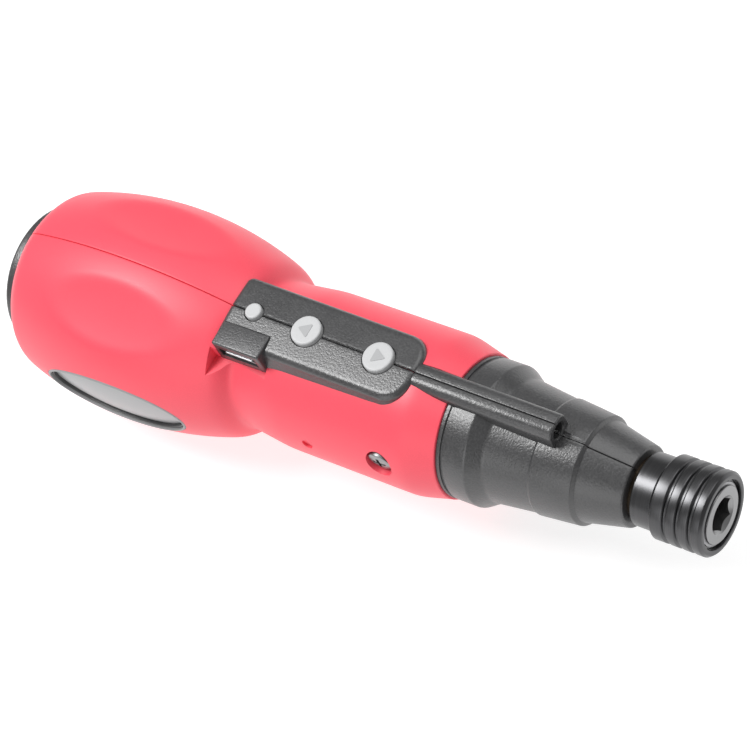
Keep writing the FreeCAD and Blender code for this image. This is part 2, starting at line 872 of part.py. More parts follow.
def make_lamp_leads():
    start = (board_front + size.panel_fit_gap - lamp_rear) / cosine(size.panel_tilt)
    half = size.lamp_lead_spacing / 2
    return joined("lamp_leads",
                  lamp_rod("lamp_lead_left", size.lamp_lead_radius, start, led_start, half),
                  lamp_rod("lamp_lead_right", size.lamp_lead_radius, start, led_start, -half))


# Nose casing

def make_nose():
    """The stepped black nose with its lamp tube, hollowed for the bushes and the ring gear, in two halves."""
    bush_seat = bush_radius + size.seat_gap
    ring_seat = ring_gear_radius + size.seat_gap
    groove_rear = handle_front + size.band_groove_width * 2
    groove_front = groove_rear + size.band_groove_width
    groove_floor = size.band_radius - size.band_groove_depth
    carrier_room = carrier_radius + size.carrier_rim_gap
    blank = turned_body("nose_blank", [
        (nose_front, bush_seat),
        (nose_front, size.nose_front_radius),
        (tip_rear, size.nose_tip_radius),
        (collar_front, size.collar_front_radius),
        (collar_rear, size.collar_rear_radius),
        (barrel_front, size.barrel_front_radius),
        (barrel_rear, size.barrel_rear_radius),
        (band_front, size.band_radius),
        (groove_front, size.band_radius),
        (groove_front, groove_floor),
        (groove_rear, groove_floor),
        (groove_rear, size.band_radius),
        (handle_front, size.band_radius),
        (handle_front, size.spigot_radius),
        (spigot_rear, size.spigot_radius),
        (spigot_rear, ring_seat),
        (ring_gear_front, ring_seat),
        (ring_gear_front, carrier_room),
        (rear_bush_rear, carrier_room),
        (rear_bush_rear, bush_seat),
        (rear_bush_front, bush_seat),
        (rear_bush_front, size.nose_hollow_radius),
        (front_bush_rear, size.nose_hollow_radius),
        (front_bush_rear, bush_seat),
    ])
    ring_room = rod("ring_gear_room", "x", ring_seat, ring_gear_front - motor_rear, x=motor_rear)
    plate_room = rod("gear_plate_room", "x", body_bore, gear_plate_front + size.panel_fit_gap - motor_rear,
                     x=motor_rear)
    whole = cut("nose_whole", joined("nose_with_tube", blank, lamp_tube), lamp_bore, lamp_channel, ring_room,
                plate_room, panel_opening)
    return halves("nose", whole, whole)


# Handle casing

MOTOR_RIB_SHARES = (0.16, 0.64)
BATTERY_RIB_SHARES = (0.25, 0.75)
# The hollows' places round the bulb in steps of their spacing: none at the plate, and one under the tool to lie on
DIMPLE_STEPS = (0.5, 1.5, 2.25, 3.0, 3.75, 5.5)
motor_front = gear_plate_rear
spigot_bore = size.spigot_radius + size.panel_fit_gap
cap_bore = size.cap_spigot_radius + size.panel_fit_gap
opening_rear = board_rear - size.board_clearance
opening_front = board_front + size.opening_lead
panel_opening = block("panel_opening", (opening_rear, -size.opening_half_width, board_bottom),
                      (opening_front, size.opening_half_width, half_reach))
screw_at = handle_front - size.screw_back
screw_seat = -(size.body_radius - size.screw_seat_depth)
screw_boss_end = -(size.body_radius - size.screw_boss_depth)
screw_boss_radius = size.screw_pocket_radius + size.screw_boss_wall
plate_at = bulb_middle + size.plate_back


def handle_ribs():
    """Front, rear and bore of each rib in the bulb, from the rear: the battery's stops and its two cradles."""
    cradle = size.battery_radius + size.seat_gap
    rear_stop = battery_rear - size.battery_stop_gap
    front_stop = battery_front + size.battery_stop_gap
    ribs = [(rear_stop, rear_stop - size.rib_thickness, size.battery_stop_radius)]
    for share in reversed(BATTERY_RIB_SHARES):
        front = battery_front - share * size.battery_length
        ribs.append((front, front - size.rib_thickness, cradle))
    ribs.append((front_stop + size.rib_thickness, front_stop, size.battery_stop_radius))
    return ribs


def make_handle_blank():
    """The handle as one hollow turning: taper, neck, bulb, and inside it the ribs for motor and battery."""
    corners, arcs = handle_outline(ZERO)
    inner_arc = size.bulb_arc_radius - size.handle_wall
    cap_seat = cap_front + size.cap_spigot_length + size.panel_fit_gap
    corners += [(cap_front, cap_bore), (cap_seat, cap_bore)]
    arcs[len(corners)] = (inner_arc, 1)
    corners.append((cap_seat, bulb_outer(cap_seat, size.handle_wall)))
    for front, rear, bore in handle_ribs():
        corners += [(rear, bulb_outer(rear, size.handle_wall)), (rear, bore), (front, bore)]
        arcs[len(corners)] = (inner_arc, 1)
        corners.append((front, bulb_outer(front, size.handle_wall)))
    corners += [
        (bulb_front, bulb_outer(bulb_front, size.handle_wall)),
        (neck_rear, neck_bore),
        (neck_front, neck_bore),
        (body_rear, body_bore),
    ]
    cradle = size.motor_radius + size.seat_gap
    for share in reversed(MOTOR_RIB_SHARES):
        front = motor_front - share * size.motor_length
        rear = front - size.rib_thickness
        corners += [(rear, body_bore), (rear, cradle), (front, cradle), (front, body_bore)]
    plate_stop = gear_plate_front + size.panel_fit_gap
    corners += [(plate_stop, body_bore), (plate_stop, spigot_bore), (handle_front, spigot_bore)]
    return turned_body("handle_blank", corners, arcs)


def make_dimples():
    """Long shallow hollows round the bulb, cut by wide cylinders, with the plate's place left out."""
    far = size.bulb_radius - size.dimple_depth + size.dimple_curve_radius
    tools = []
    for number, step in enumerate(DIMPLE_STEPS):
        turn = size.dimple_spacing * step
        tools.append(rod(f"dimple_{number}", "x", size.dimple_curve_radius, bulb_front - cap_front,
                         x=cap_front, y=far * sine(turn), z=far * cosine(turn)))
    return tools


def oval(name, length, width):
    """An upright oval bar that passes through the right side of the bulb."""
    outline = doc.addObject("Part::Ellipse", name + "_outline")
    outline.setExpression("MajorRadius", (length / 2).text)
    outline.setExpression("MinorRadius", (width / 2).text)
    outline.Placement = Placement(Vector(), Rotation(Vector(1, 0, 0), 90))
    at(outline, x=plate_at)
    bar = doc.addObject("Part::Extrusion", name)
    bar.Base = outline
    bar.DirMode = "Custom"
    bar.Dir = Vector(0, -1, 0)
    bar.setExpression("LengthFwd", half_reach.text)
    bar.Solid = True
    return bar


recess_floor = handle_envelope("recess_floor", -size.plate_recess_depth)
plate_recess = cut("plate_recess", oval("recess_bar", size.plate_length, size.plate_width), recess_floor)


def make_plate():
    """The thin bezel ring and the bare plate inside it, both bent to the bulb."""
    gap = size.panel_fit_gap
    seat = handle_envelope("plate_seat", gap - size.plate_recess_depth)
    bezel_face = handle_envelope("bezel_face", -size.bezel_sink)
    plate_face = handle_envelope("plate_face", -size.plate_sink)
    outer = [item - gap * 2 for item in (size.plate_length, size.plate_width)]
    inner = [item - size.bezel_width * 2 for item in outer]
    bezel_bar = shared("bezel_bar", oval("bezel_outer", *outer), bezel_face)
    bezel = cut("plate_bezel", bezel_bar, oval("bezel_inner", *inner), seat)
    plate_bar = shared("plate_bar", oval("plate_outer", *[item - gap * 2 for item in inner]), plate_face)
    return [bezel, cut("rating_plate", plate_bar, seat)]


def make_handle():
    """The two handle halves, with dimples, panel opening, plate recess, screw boss and plug notch."""
    blank = make_handle_blank()
    skin = handle_envelope("handle_skin", ZERO)
    boss_bar = rod("screw_boss_bar", "y", screw_boss_radius, half_reach + screw_boss_end, x=screw_at,
                   y=-half_reach, z=size.screw_height)
    wall = size.plug_notch_wall
    notch_bar = block("plug_notch_bar", (panel_rear - size.plug_notch_length - wall, -half_reach,
                                         board_bottom - wall),
                      (port_front + wall, wall - size.opening_half_width, half_reach))
    filled = joined("handle_filled", blank, shared("screw_boss", boss_bar, skin),
                    shared("plug_notch_pad", notch_bar, skin))
    slot_top = lead_level + size.lead_radius + size.lead_slot_gap
    lead_slot = block("lead_slot", (battery_rear, -size.lead_slot_half_width, size.battery_stop_radius),
                      (board_rear, size.lead_slot_half_width, slot_top))
    whole = cut("handle_whole", filled, *make_dimples(), panel_opening, lead_slot, lamp_tube_room,
                lamp_channel, panel_shelf_room)
    pocket = rod("screw_pocket", "y", size.screw_pocket_radius, half_reach + screw_seat, x=screw_at,
                 y=-half_reach, z=size.screw_height)
    screw_hole = rod("screw_hole", "y", size.screw_radius + size.seat_gap, half_reach, x=screw_at,
                     y=-half_reach, z=size.screw_height)
    hole_floor = -(size.body_radius - size.blind_hole_depth)
    blind_hole = rod("blind_hole", "y", size.blind_hole_radius, half_reach + hole_floor,
                     x=handle_front - size.blind_hole_back, y=-half_reach, z=size.blind_hole_height)
    right = cut("handle_right_whole", whole, pocket, screw_hole, blind_hole, plug_notch, plate_recess)
    return halves("handle_shell", whole, right)


def make_housing_screw():
    head = rod("screw_head", "y", size.screw_head_radius, size.screw_head_height, x=screw_at,
               y=screw_seat - size.screw_head_height, z=size.screw_height)
    shank = rod("screw_shank", "y", size.screw_radius, size.screw_length, x=screw_at, y=screw_seat,
                z=size.screw_height)
    return joined("housing_screw", head, shank)


def make_end_cap():
    """A cap with a straight rim, a low dome and a hollow spigot; the dome is the arc through its rim and top."""
    height = size.cap_dome_height
    dome_arc = (size.cap_radius * size.cap_radius + height * height) / (height * 2)
    spigot = size.cap_spigot_radius
    front = cap_front + size.cap_spigot_length
    hollow = spigot - size.cap_wall
    return turned_body("end_cap", [
        (cap_front, ZERO),
        (cap_front, hollow),
        (front, hollow),
        (front, spigot),
        (cap_front, spigot),
        (cap_front, size.cap_radius),
        (dome_front, size.cap_radius),
        (tool_rear, ZERO),
    ], {6: (dome_arc, -1)})


# Switch panel, buttons and charge port

port_top = panel_top + size.port_box_rise
port_front = panel_rear + size.port_box_length
usb_rear = panel_rear + size.usb_back
usb_mouth = -(size.port_box_reach - size.usb_sink)
handle_room = handle_envelope("handle_room", size.panel_fit_gap)
BUTTONS = (
    ("forward", forward_button_at, size.button_radius, size.switch_side),
    ("reverse", reverse_button_at, size.button_radius, size.switch_side),
    ("lamp", lamp_button_at, size.lamp_button_radius, size.lamp_switch_side),
)


def ridge_at(x):
    """Height of the panel's ridge at a station; it rises to the rear."""
    return panel_top + (panel_front - x) * sine(size.panel_tilt) / cosine(size.panel_tilt)


def panel_block(name, inset, fall, depth, edge=None):
    """The panel's block, drawn in by an inset and lowered by a fall: sloping sides, rounded front corners and
    a top that falls from its ridge to both sides. It stands on the ridge's front end and leans back."""
    owner = new_body(name)
    half = size.panel_half_width - inset
    arc = size.panel_front_arc_radius - inset
    front = -inset
    rear = inset - size.panel_length
    sketch = new_sketch(owner, "XY_Plane", name + "_outline", -fall)
    draw(sketch, [
        (rear, -half),
        (front - arc, -half),
        (front, arc - half),
        (front, half - arc),
        (front - arc, half),
        (rear, half),
    ], {1: (arc, -1), 3: (arc, -1)})
    pad = swept(owner, "Pad", sketch, depth, back=True)
    pad.setExpression("TaperAngle", size.panel_draft.text)
    reach = half + size.overrun
    low = -fall - reach * size.panel_roof_fall / size.panel_half_width
    roof = new_sketch(owner, "YZ_Plane", name + "_roof_outline", size.overrun)
    draw(roof, [(-reach, low), (ZERO, -fall), (reach, low), (reach, size.overrun), (-reach, size.overrun)])
    last = swept(owner, "Pocket", roof, size.panel_length + size.overrun * 2)
    if edge is not None:
        doc.recompute()
        lowest = -(fall + size.panel_roof_fall + size.panel_fit_gap).value
        rim = [f"Edge{number}" for number, item in enumerate(last.Shape.Edges, start=1)
               if item.BoundBox.ZMin > lowest and item.BoundBox.YLength > size.panel_fit_gap.value
               or item.BoundBox.ZMin > lowest and abs(item.BoundBox.YMin) > size.panel_fit_gap.value]
        rounding = owner.newObject("PartDesign::Fillet", name + "_rounding")
        rounding.Base = (last, rim)
        rounding.setExpression("Radius", edge.text)
    owner.Placement = Placement(Vector(), Rotation(Vector(0, 1, 0), size.panel_tilt.value))
    owner.setExpression("Placement.Rotation.Angle", size.panel_tilt.text)
    return at(owner, x=panel_front, z=panel_top)


panel_shelf = panel_block("panel_shelf", ZERO, ZERO, size.panel_wall)
panel_shelf_room = panel_block("panel_shelf_room", -size.panel_fit_gap, ZERO,
                               size.panel_wall + size.panel_fit_gap)
plug_notch = block("plug_notch", (panel_rear - size.plug_notch_length, -size.plug_notch_reach, board_bottom),
                   (port_front + size.panel_fit_gap, -size.opening_half_width, half_reach))


def make_panel():
    """The two panel halves: a shallow cover with button holes, and the port box on the right half."""
    cover = panel_block("panel_cover", ZERO, ZERO, size.panel_depth, size.panel_edge_radius)
    hollow = panel_block("panel_hollow", size.panel_wall, size.panel_wall, size.panel_depth)
    nose_room = rod("nose_room", "x", size.band_radius + size.panel_fit_gap, nose_front - handle_front,
                    x=handle_front)
    rest = [hollow, lamp_tube_room, lamp_channel, nose_room]
    for name, x, radius, _ in BUTTONS:
        rest.append(rod(f"{name}_hole", "z", radius + size.button_hole_gap, size.panel_wall + size.overrun * 2,
                        x=x, z=ridge_at(x) - size.panel_wall - size.overrun))
    box = block("port_box", (panel_rear, -size.port_box_reach, board_bottom + size.panel_fit_gap),
                (port_front, -size.port_box_inner, port_top))
    gap = size.seat_gap
    slot = block("usb_slot", (usb_rear - gap, -half_reach, board_top - gap),
                 (usb_rear + size.usb_length + gap, ZERO, board_top + size.usb_height + gap))
    left = cut("panel_left_whole", cover, cut("left_room", handle_room, panel_shelf), *rest)
    right_room = cut("right_room", handle_room, panel_shelf, plug_notch)
    right = cut("panel_right_whole", joined("panel_with_box", cover, box), slot, right_room, *rest)
    return halves("panel", left, right)


def make_button(name, x, radius):
    """A push button with a flange that keeps it under the panel."""
    top = ridge_at(x) + size.button_proud
    edge = size.button_edge_radius
    flange = radius + size.button_flange_width
    slope = size.panel_roof_fall / size.panel_half_width + sine(size.panel_tilt)
    flange_top = ridge_at(x) - size.panel_wall - flange * slope - size.button_flange_gap
    owner = new_body(name + "_button")
    turn_in(owner, [
        (ZERO, flange_bottom),
        (flange, flange_bottom),
        (flange, flange_top),
        (radius, flange_top),
        (radius, top - edge),
        (radius - edge, top),
        (ZERO, top),
    ], {4: (edge, -1)}, axis="V_Axis")
    return at(owner, x=x)


def make_switches():
    """The buttons, the plungers under them and the three switch bodies on the board."""
    pieces, bodies = [], []
    foot = switch_top - size.plunger_sunk
    for name, x, radius, side in BUTTONS:
        pieces.append(make_button(name, x, radius))
        pieces.append(rod(f"{name}_plunger", "z", size.plunger_radius, flange_bottom - foot, x=x, z=foot))
        half = side / 2
        case = block(f"{name}_switch_case", (x - half, -half, board_top), (x + half, half, switch_top))
        well = rod(f"{name}_switch_well", "z", size.plunger_radius + size.button_hole_gap, size.switch_height,
                   x=x, z=board_top + size.switch_floor)
        bodies.append(cut(f"{name}_switch", case, well))
    return pieces + [joined("switch_bodies", *bodies)]


def make_board():
    half = size.board_half_width
    board = block("circuit_board", (board_rear, -half, board_bottom), (board_front, half, board_top))
    middle = (forward_button_at + reverse_button_at) / 2
    side = size.chip_length / 2
    chips = []
    for name, low, high in (("left", ZERO, size.chip_width), ("right", -size.chip_width, ZERO)):
        inner = size.board_clearance if name == "left" else -size.board_clearance
        chips.append(block(f"{name}_chip", (middle - side, low + inner, board_top),
                           (middle + side, high + inner, board_top + size.chip_height)))
    return [board, joined("board_chips", *chips)]


def make_usb():
    """The metal charge socket, open to the right side, and the tongue inside it."""
    wall = size.usb_wall
    front = usb_rear + size.usb_length
    top = board_top + size.usb_height
    inside = usb_mouth + size.usb_depth
    case = block("usb_case", (usb_rear, usb_mouth, board_top), (front, inside, top))
    room = block("usb_room", (usb_rear + wall, usb_mouth - size.overrun, board_top + wall),
                 (front - wall, inside - wall, top - wall))
    middle = (usb_rear + front) / 2
    height = (board_top + top) / 2
    half = size.usb_tongue_length / 2
    thick = size.usb_tongue_thickness / 2
    tongue = block("usb_tongue", (middle - half, inside - wall - size.usb_tongue_reach, height - thick),
                   (middle + half, inside - wall, height + thick))
    return [cut("usb_socket", case, room), tongue]


# Planetary gearbox

PLANET_LETTERS = "abc"
PLANET_TURNS = (90, 210, 330)


def involute(angle):
    return math.tan(angle) - angle


def half_tooth(radius, teeth, outward):
    """Half the angle that a tooth takes at a radius; the flank is an involute above the base circle."""
    pitch_radius = teeth * pitch_share.value
    pressure = math.radians(size.pressure_angle.value)
    base = pitch_radius * math.cos(pressure)
    at_pitch = math.pi / (2 * teeth) - size.tooth_thinning.value / (2 * pitch_radius)
    lean = involute(pressure) - involute(math.acos(min(1, base / radius)))
    return at_pitch + (lean if outward else -lean)


def tooth_outline(teeth, outward, x, y, z, turn):
    """A closed outline of teeth in the plane of a station, with one tooth at the given turn from +Y."""
    pitch_radius = teeth * pitch_share.value
    sense = 1 if outward else -1
    root = pitch_radius - sense * tooth_depth.value
    tip = pitch_radius + sense * tooth_height.value
    flank = [(radius, half_tooth(radius, teeth, outward)) for radius in (root, pitch_radius, tip)]
    steps = [(radius, -half) for radius, half in flank] + [(radius, half) for radius, half in reversed(flank)]
    points = []
    for tooth in range(teeth):
        middle = math.radians(turn) + 2 * math.pi * tooth / teeth
        for radius, half in steps:
            angle = middle + half
            points.append(Vector(x, y + radius * math.cos(angle), z + radius * math.sin(angle)))
    return Part.makePolygon(points + points[:1])


def gear_bar(teeth, front, rear, outward=True, y=0, z=0, turn=0):
    outline = tooth_outline(teeth, outward, front.value, y, z, turn)
    return Part.Face(outline).extrude(Vector(rear.value - front.value, 0, 0))


def axle(radius, front, rear, y=0, z=0):
    return Part.makeCylinder(radius.value, front.value - rear.value, Vector(rear.value, y, z), Vector(1, 0, 0))


def make_planets(stage, front, rear):
    """Three planet gears with a gap between two teeth turned to the middle, each bored for its pin."""
    planets = []
    teeth = round(size.planet_teeth.value)
    bore = size.planet_pin_radius + size.running_gap
    for letter, turn in zip(PLANET_LETTERS, PLANET_TURNS):
        y = planet_centre.value * math.cos(math.radians(turn))
        z = planet_centre.value * math.sin(math.radians(turn))
        shape = gear_bar(teeth, front, rear, y=y, z=z, turn=turn + 180 / teeth)
        planets.append(made(f"planet_{stage}{letter}", shape.cut(axle(bore, front, rear, y, z))))
    return planets


def make_ring_gear():
    teeth = round(ring_teeth.value)
    blank = axle(ring_gear_radius, ring_gear_front, gear_plate_front)
    room = axle(carrier_radius + size.carrier_rim_gap / 2, ring_gear_front, output_gear_front)
    inside = gear_bar(teeth, output_gear_front, gear_plate_front, outward=False, turn=PLANET_TURNS[0])
    return made("ring_gear", blank.cut(room).cut(inside))


def make_suns():
    """The sun gear of the output stage on its hub, and the pinion on the motor shaft."""
    teeth = round(size.sun_teeth.value)
    teeth_rear = output_gear_rear
    second = gear_bar(teeth, output_gear_front, teeth_rear, turn=PLANET_TURNS[0])
    second = second.fuse(axle(size.sun_hub_radius, teeth_rear, first_carrier_rear))
    pinion = gear_bar(teeth, input_gear_front, input_gear_rear, turn=PLANET_TURNS[0])
    pinion = pinion.cut(axle(size.motor_shaft_radius, input_gear_front, input_gear_rear))
    return [made("second_sun", second), made("motor_pinion", pinion)]


def add_pins(carrier, rear, length):
    sketch = new_sketch(carrier, "YZ_Plane", carrier.Name + "_pin_outline", rear)
    draw_circles(sketch, [(planet_centre * cosine(turn), planet_centre * sine(turn), size.planet_pin_radius)
                          for turn in PLANET_TURNS])
    swept(carrier, "Pad", sketch, length, back=True)


def make_carriers():
    """The two planet carriers: the front one drives the spindle, the rear one holds the second sun."""
    hub_front = journal_rear - size.end_float
    plate_front = carrier_rear + size.carrier_thickness
    output = turned_body("output_carrier", [
        (hub_front, ZERO),
        (hub_front, size.carrier_hub_radius),
        (plate_front, size.carrier_hub_radius),
        (plate_front, carrier_radius),
        (carrier_rear, carrier_radius),
        (carrier_rear, ZERO),
    ])
    half = size.drive_square / 2 + size.seat_gap
    square = new_sketch(output, "YZ_Plane", "square_hole_outline", hub_front)
    draw(square, [(-half, -half), (half, -half), (half, half), (-half, half)])
    swept(output, "Pocket", square, size.drive_length)
    pin_length = size.gear_width + size.gear_side_gap
    add_pins(output, carrier_rear, pin_length)
    hole = size.sun_hub_radius + size.seat_gap
    first = sleeve_like("first_carrier", first_carrier_front, first_carrier_rear, hole, carrier_radius)
    add_pins(first, first_carrier_rear, pin_length)
    return [output, first]


def make_gear_plate():
    """The plate between gearbox and motor, cleared for the board and the casing screw, with its two screws."""
    rim = body_bore - size.gear_plate_rim_gap
    blank = sleeve_like("gear_plate_blank", gear_plate_front, gear_plate_rear,
                        size.motor_boss_radius + size.running_gap, rim)
    front, rear = gear_plate_front + size.overrun, gear_plate_rear - size.overrun
    reach = rim + size.overrun
    flat = block("gear_plate_flat", (rear, -reach, board_bottom - size.board_clearance), (front, reach, reach))
    notch = rod("boss_notch", "y", screw_boss_radius + size.seat_gap,
                half_reach + screw_boss_end + size.seat_gap, x=screw_at, y=-half_reach, z=size.screw_height)
    bite = rod("screw_bite", "y", size.screw_radius + size.seat_gap, size.screw_length + size.overrun,
               x=screw_at, y=screw_seat, z=size.screw_height)
    tools = [flat, notch, bite]
    screws = []
    head_rear = gear_plate_front - size.gear_screw_head_height
    tip = gear_plate_rear - size.gear_screw_bite
    for side, y in (("left", size.gear_screw_offset), ("right", -size.gear_screw_offset)):
        tools.append(rod(f"{side}_head_room", "x", size.gear_screw_head_radius + size.seat_gap,
                         size.gear_screw_head_height + size.overrun, x=head_rear, y=y))
        tools.append(rod(f"{side}_shank_room", "x", size.gear_screw_radius + size.seat_gap,
                         front - rear, x=rear, y=y))
        head = rod(f"{side}_gear_screw_head", "x", size.gear_screw_head_radius, size.gear_screw_head_height,
                   x=head_rear, y=y)
        shank = rod(f"{side}_gear_screw_shank", "x", size.gear_screw_radius, head_rear - tip, x=tip, y=y)
        screws.append(joined(f"{side}_gear_screw", head, shank))
    return [cut("gear_plate", blank, *tools), joined("gear_screws", *screws)]


# Motor

def make_motor():
    """The motor's can, end bell, magnets and brushes, and the rotor that turns inside them."""
    shaft = size.motor_shaft_radius
    bearing = shaft + size.running_gap
    inner = size.motor_radius - size.motor_wall
    boss_front = motor_front + size.motor_boss_length
    can_blank = turned_body("motor_can_blank", [
        (boss_front, bearing),
        (boss_front, size.motor_boss_radius),
        (motor_front, size.motor_boss_radius),
        (motor_front, size.motor_radius),
        (end_bell_front, size.motor_radius),
        (end_bell_front, inner),
        (motor_front - size.motor_wall, inner),
        (motor_front - size.motor_wall, bearing),
    ])
    holes = [rod(f"can_{side}_hole", "x", size.gear_screw_radius + size.seat_gap,
                 size.motor_wall + size.overrun, x=motor_front - size.motor_wall - size.overrun / 2, y=y)
             for side, y in (("left", size.gear_screw_offset), ("right", -size.gear_screw_offset))]
    can = cut("motor_can", can_blank, *holes)
    plug_front = end_bell_front + size.end_bell_plug_length
    bell = turned_body("motor_end_bell", [
        (plug_front, bearing),
        (plug_front, inner - size.seat_gap),
        (end_bell_front, inner - size.seat_gap),
        (end_bell_front, size.motor_radius),
        (motor_rear, size.motor_radius),
        (motor_rear, bearing),
    ])
    magnet_outer = inner - size.magnet_gap
    magnet_inner = magnet_outer - size.magnet_depth
    magnet_front = motor_front - size.magnet_inset
    magnet_rear = magnet_front - size.magnet_length
    ring = sleeve_like("magnet_blank", magnet_front, magnet_rear, magnet_inner, magnet_outer)
    half = size.magnet_split / 2
    split = block("magnet_gap_bar", (magnet_rear - size.overrun, -inner, -half),
                  (magnet_front + size.overrun, inner, half))
    magnets = cut("motor_magnets", ring, split)
    core_front = (magnet_front + magnet_rear + size.armature_length) / 2
    core_rear = core_front - size.armature_length
    core_radius = magnet_inner - size.air_gap
    armature = turned_body("armature", [
        (core_front + size.armature_hub_length, shaft),
        (core_front + size.armature_hub_length, size.armature_hub_radius),
        (core_front, size.armature_hub_radius),
        (core_front, core_radius),
        (core_rear, core_radius),
        (core_rear, size.armature_hub_radius),
        (core_rear - size.armature_hub_length, size.armature_hub_radius),
        (core_rear - size.armature_hub_length, shaft),
    ])
    slots = new_sketch(armature, "YZ_Plane", "armature_slot_outline", core_front)
    slot_at = core_radius - size.armature_slot_radius / 2
    draw_circles(slots, [(slot_at * cosine(turn), slot_at * sine(turn), size.armature_slot_radius)
                         for turn in PLANET_TURNS])
    swept(armature, "Pocket", slots, size.armature_length)
    ring_start = core_rear - size.armature_hub_length
    commutator = sleeve_like("commutator", ring_start, ring_start - size.commutator_length, shaft,
                             size.commutator_radius)
    brushes = []
    low = size.commutator_radius + size.brush_gap
    width = size.brush_width / 2
    for name, start, end in (("left", low, low + size.brush_thickness),
                             ("right", -(low + size.brush_thickness), -low)):
        brushes.append(block(f"{name}_brush", (plug_front, start, -width),
                             (ring_start - size.air_gap, end, width)))
    axle_rod = rod("motor_shaft", "x", shaft, input_gear_front - motor_rear - size.air_gap,
                   x=motor_rear + size.air_gap)
    return [can, bell, magnets, joined("motor_brushes", *brushes), armature, commutator, axle_rod]


# Battery and leads

def make_battery():
    """The cell between its stops, a metal tab on each end, and a straight lead from each tab to the board."""
    cell = rod("battery_cell", "x", size.battery_radius, size.battery_length, x=battery_rear)
    half = size.tab_width / 2
    end = board_rear - size.seat_gap
    front_face = battery_front + size.tab_thickness
    tabs, leads = [], []
    for name, low, high, y, start in (
        ("front", battery_front, front_face, -size.lead_offset, front_face),
        ("rear", battery_rear - size.tab_thickness, battery_rear, size.lead_offset, battery_rear),
    ):
        tabs.append(block(f"{name}_tab", (low, y - half, ZERO), (high, y + half, lead_level + size.lead_radius)))
        leads.append(rod(f"{name}_lead", "x", size.lead_radius, end - start, x=start, y=y, z=lead_level))
    return [cell, joined("battery_tabs", *tabs), joined("battery_leads", *leads)]


def motor_lead(y):
    """A round wire that leaves the end bell's rear, bends up and ends under the board."""
    bend = size.motor_lead_bend_radius.value
    low, high = size.motor_radius.value / 2, board_bottom.value
    start = Vector(motor_rear.value, y.value, low)
    enter = start - Vector(size.lead_radius.value, 0, 0)
    centre = enter + Vector(0, 0, bend)
    turned = centre - Vector(bend, 0, 0)
    middle = centre - Vector(1, 0, 1).normalize() * bend
    path = Part.Wire([Part.makeLine(start, enter), Part.Arc(enter, middle, turned).toShape(),
                      Part.makeLine(turned, Vector(turned.x, turned.y, high))])
    section = Part.Wire(Part.makeCircle(size.lead_radius.value, start, Vector(-1, 0, 0)))
    return path.makePipeShell([section], True, False)


def make_motor_leads():
    leads = [motor_lead(y) for y in (size.lead_offset, -size.lead_offset)]
    return made("motor_leads", Part.makeCompound(leads))


doc.recompute()
pieces = [make_chuck_sleeve(), make_output_spindle(), make_chuck_ball(), make_chuck_ring(),
          make_chuck_washer(), make_chuck_spring(), make_bit_magnet(), make_lamp_led(), make_lamp_leads(),
          make_end_cap(), make_housing_screw(), make_ring_gear(), make_motor_leads()]
for group in (make_bearings(), make_nose(), make_handle(), make_plate(), make_panel(), make_switches(),
              make_board(), make_usb(), make_planets(1, input_gear_front, input_gear_rear),
              make_planets(2, output_gear_front, output_gear_rear), make_suns(), make_carriers(),
              make_gear_plate(), make_motor(), make_battery()):
    pieces += group
doc.recompute()

failed = [item.Name for item in doc.Objects if {"Invalid", "Error"} & set(item.State)]
failed += [item.Label for item in pieces if item.Shape.isNull() or not item.Shape.isValid()]
if failed:
    raise RuntimeError("failed to build: " + ", ".join(failed))

os.makedirs("parts", exist_ok=True)
for item in pieces:
    item.Shape.exportStep(f"parts/{item.Label}.step")
print(len(pieces), "sub-parts written")
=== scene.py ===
"""Looks of the cordless screwdriver, in the frame of its solids: X along the tool, +Z the panel's side."""
import json

import bmesh
import bpy
import numpy as np
from mathutils import Matrix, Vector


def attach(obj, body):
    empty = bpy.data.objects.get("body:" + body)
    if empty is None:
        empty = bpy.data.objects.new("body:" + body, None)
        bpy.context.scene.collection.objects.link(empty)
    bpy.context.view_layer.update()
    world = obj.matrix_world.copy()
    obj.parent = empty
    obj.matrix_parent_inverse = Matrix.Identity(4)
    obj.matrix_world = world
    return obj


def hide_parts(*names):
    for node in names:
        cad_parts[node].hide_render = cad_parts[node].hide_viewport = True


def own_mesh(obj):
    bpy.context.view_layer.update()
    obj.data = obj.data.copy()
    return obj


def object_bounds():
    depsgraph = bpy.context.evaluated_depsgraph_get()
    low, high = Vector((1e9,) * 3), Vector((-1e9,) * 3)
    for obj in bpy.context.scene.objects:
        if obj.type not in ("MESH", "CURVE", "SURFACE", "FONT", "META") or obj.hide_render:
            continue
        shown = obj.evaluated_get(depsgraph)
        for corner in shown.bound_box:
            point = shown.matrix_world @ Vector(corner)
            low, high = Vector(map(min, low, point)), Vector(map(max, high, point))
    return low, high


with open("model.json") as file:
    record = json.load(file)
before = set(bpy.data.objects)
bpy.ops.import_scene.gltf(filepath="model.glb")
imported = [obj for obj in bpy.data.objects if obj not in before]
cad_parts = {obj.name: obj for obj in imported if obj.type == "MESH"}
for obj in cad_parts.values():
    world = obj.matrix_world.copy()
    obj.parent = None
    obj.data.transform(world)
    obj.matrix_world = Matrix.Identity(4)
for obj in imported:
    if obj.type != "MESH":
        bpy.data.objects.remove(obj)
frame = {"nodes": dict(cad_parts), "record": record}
cad_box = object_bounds()
nodes = frame["nodes"]

MM = 0.001
LEFT, RIGHT = 1, -1
SIDES = (("left", LEFT), ("right", RIGHT))

# Sizes in millimetres; stations lie along X from the mouth of the bit socket. They follow the solids, apart
# from small corrections to the neck, bulb wall, port, socket, plate and sleeve grooves. Outlines are rows of
# station, radius and rounding.

# A snug fit, and the reach of tools that cut right through
FIT, REACH = 0.05, 30.0

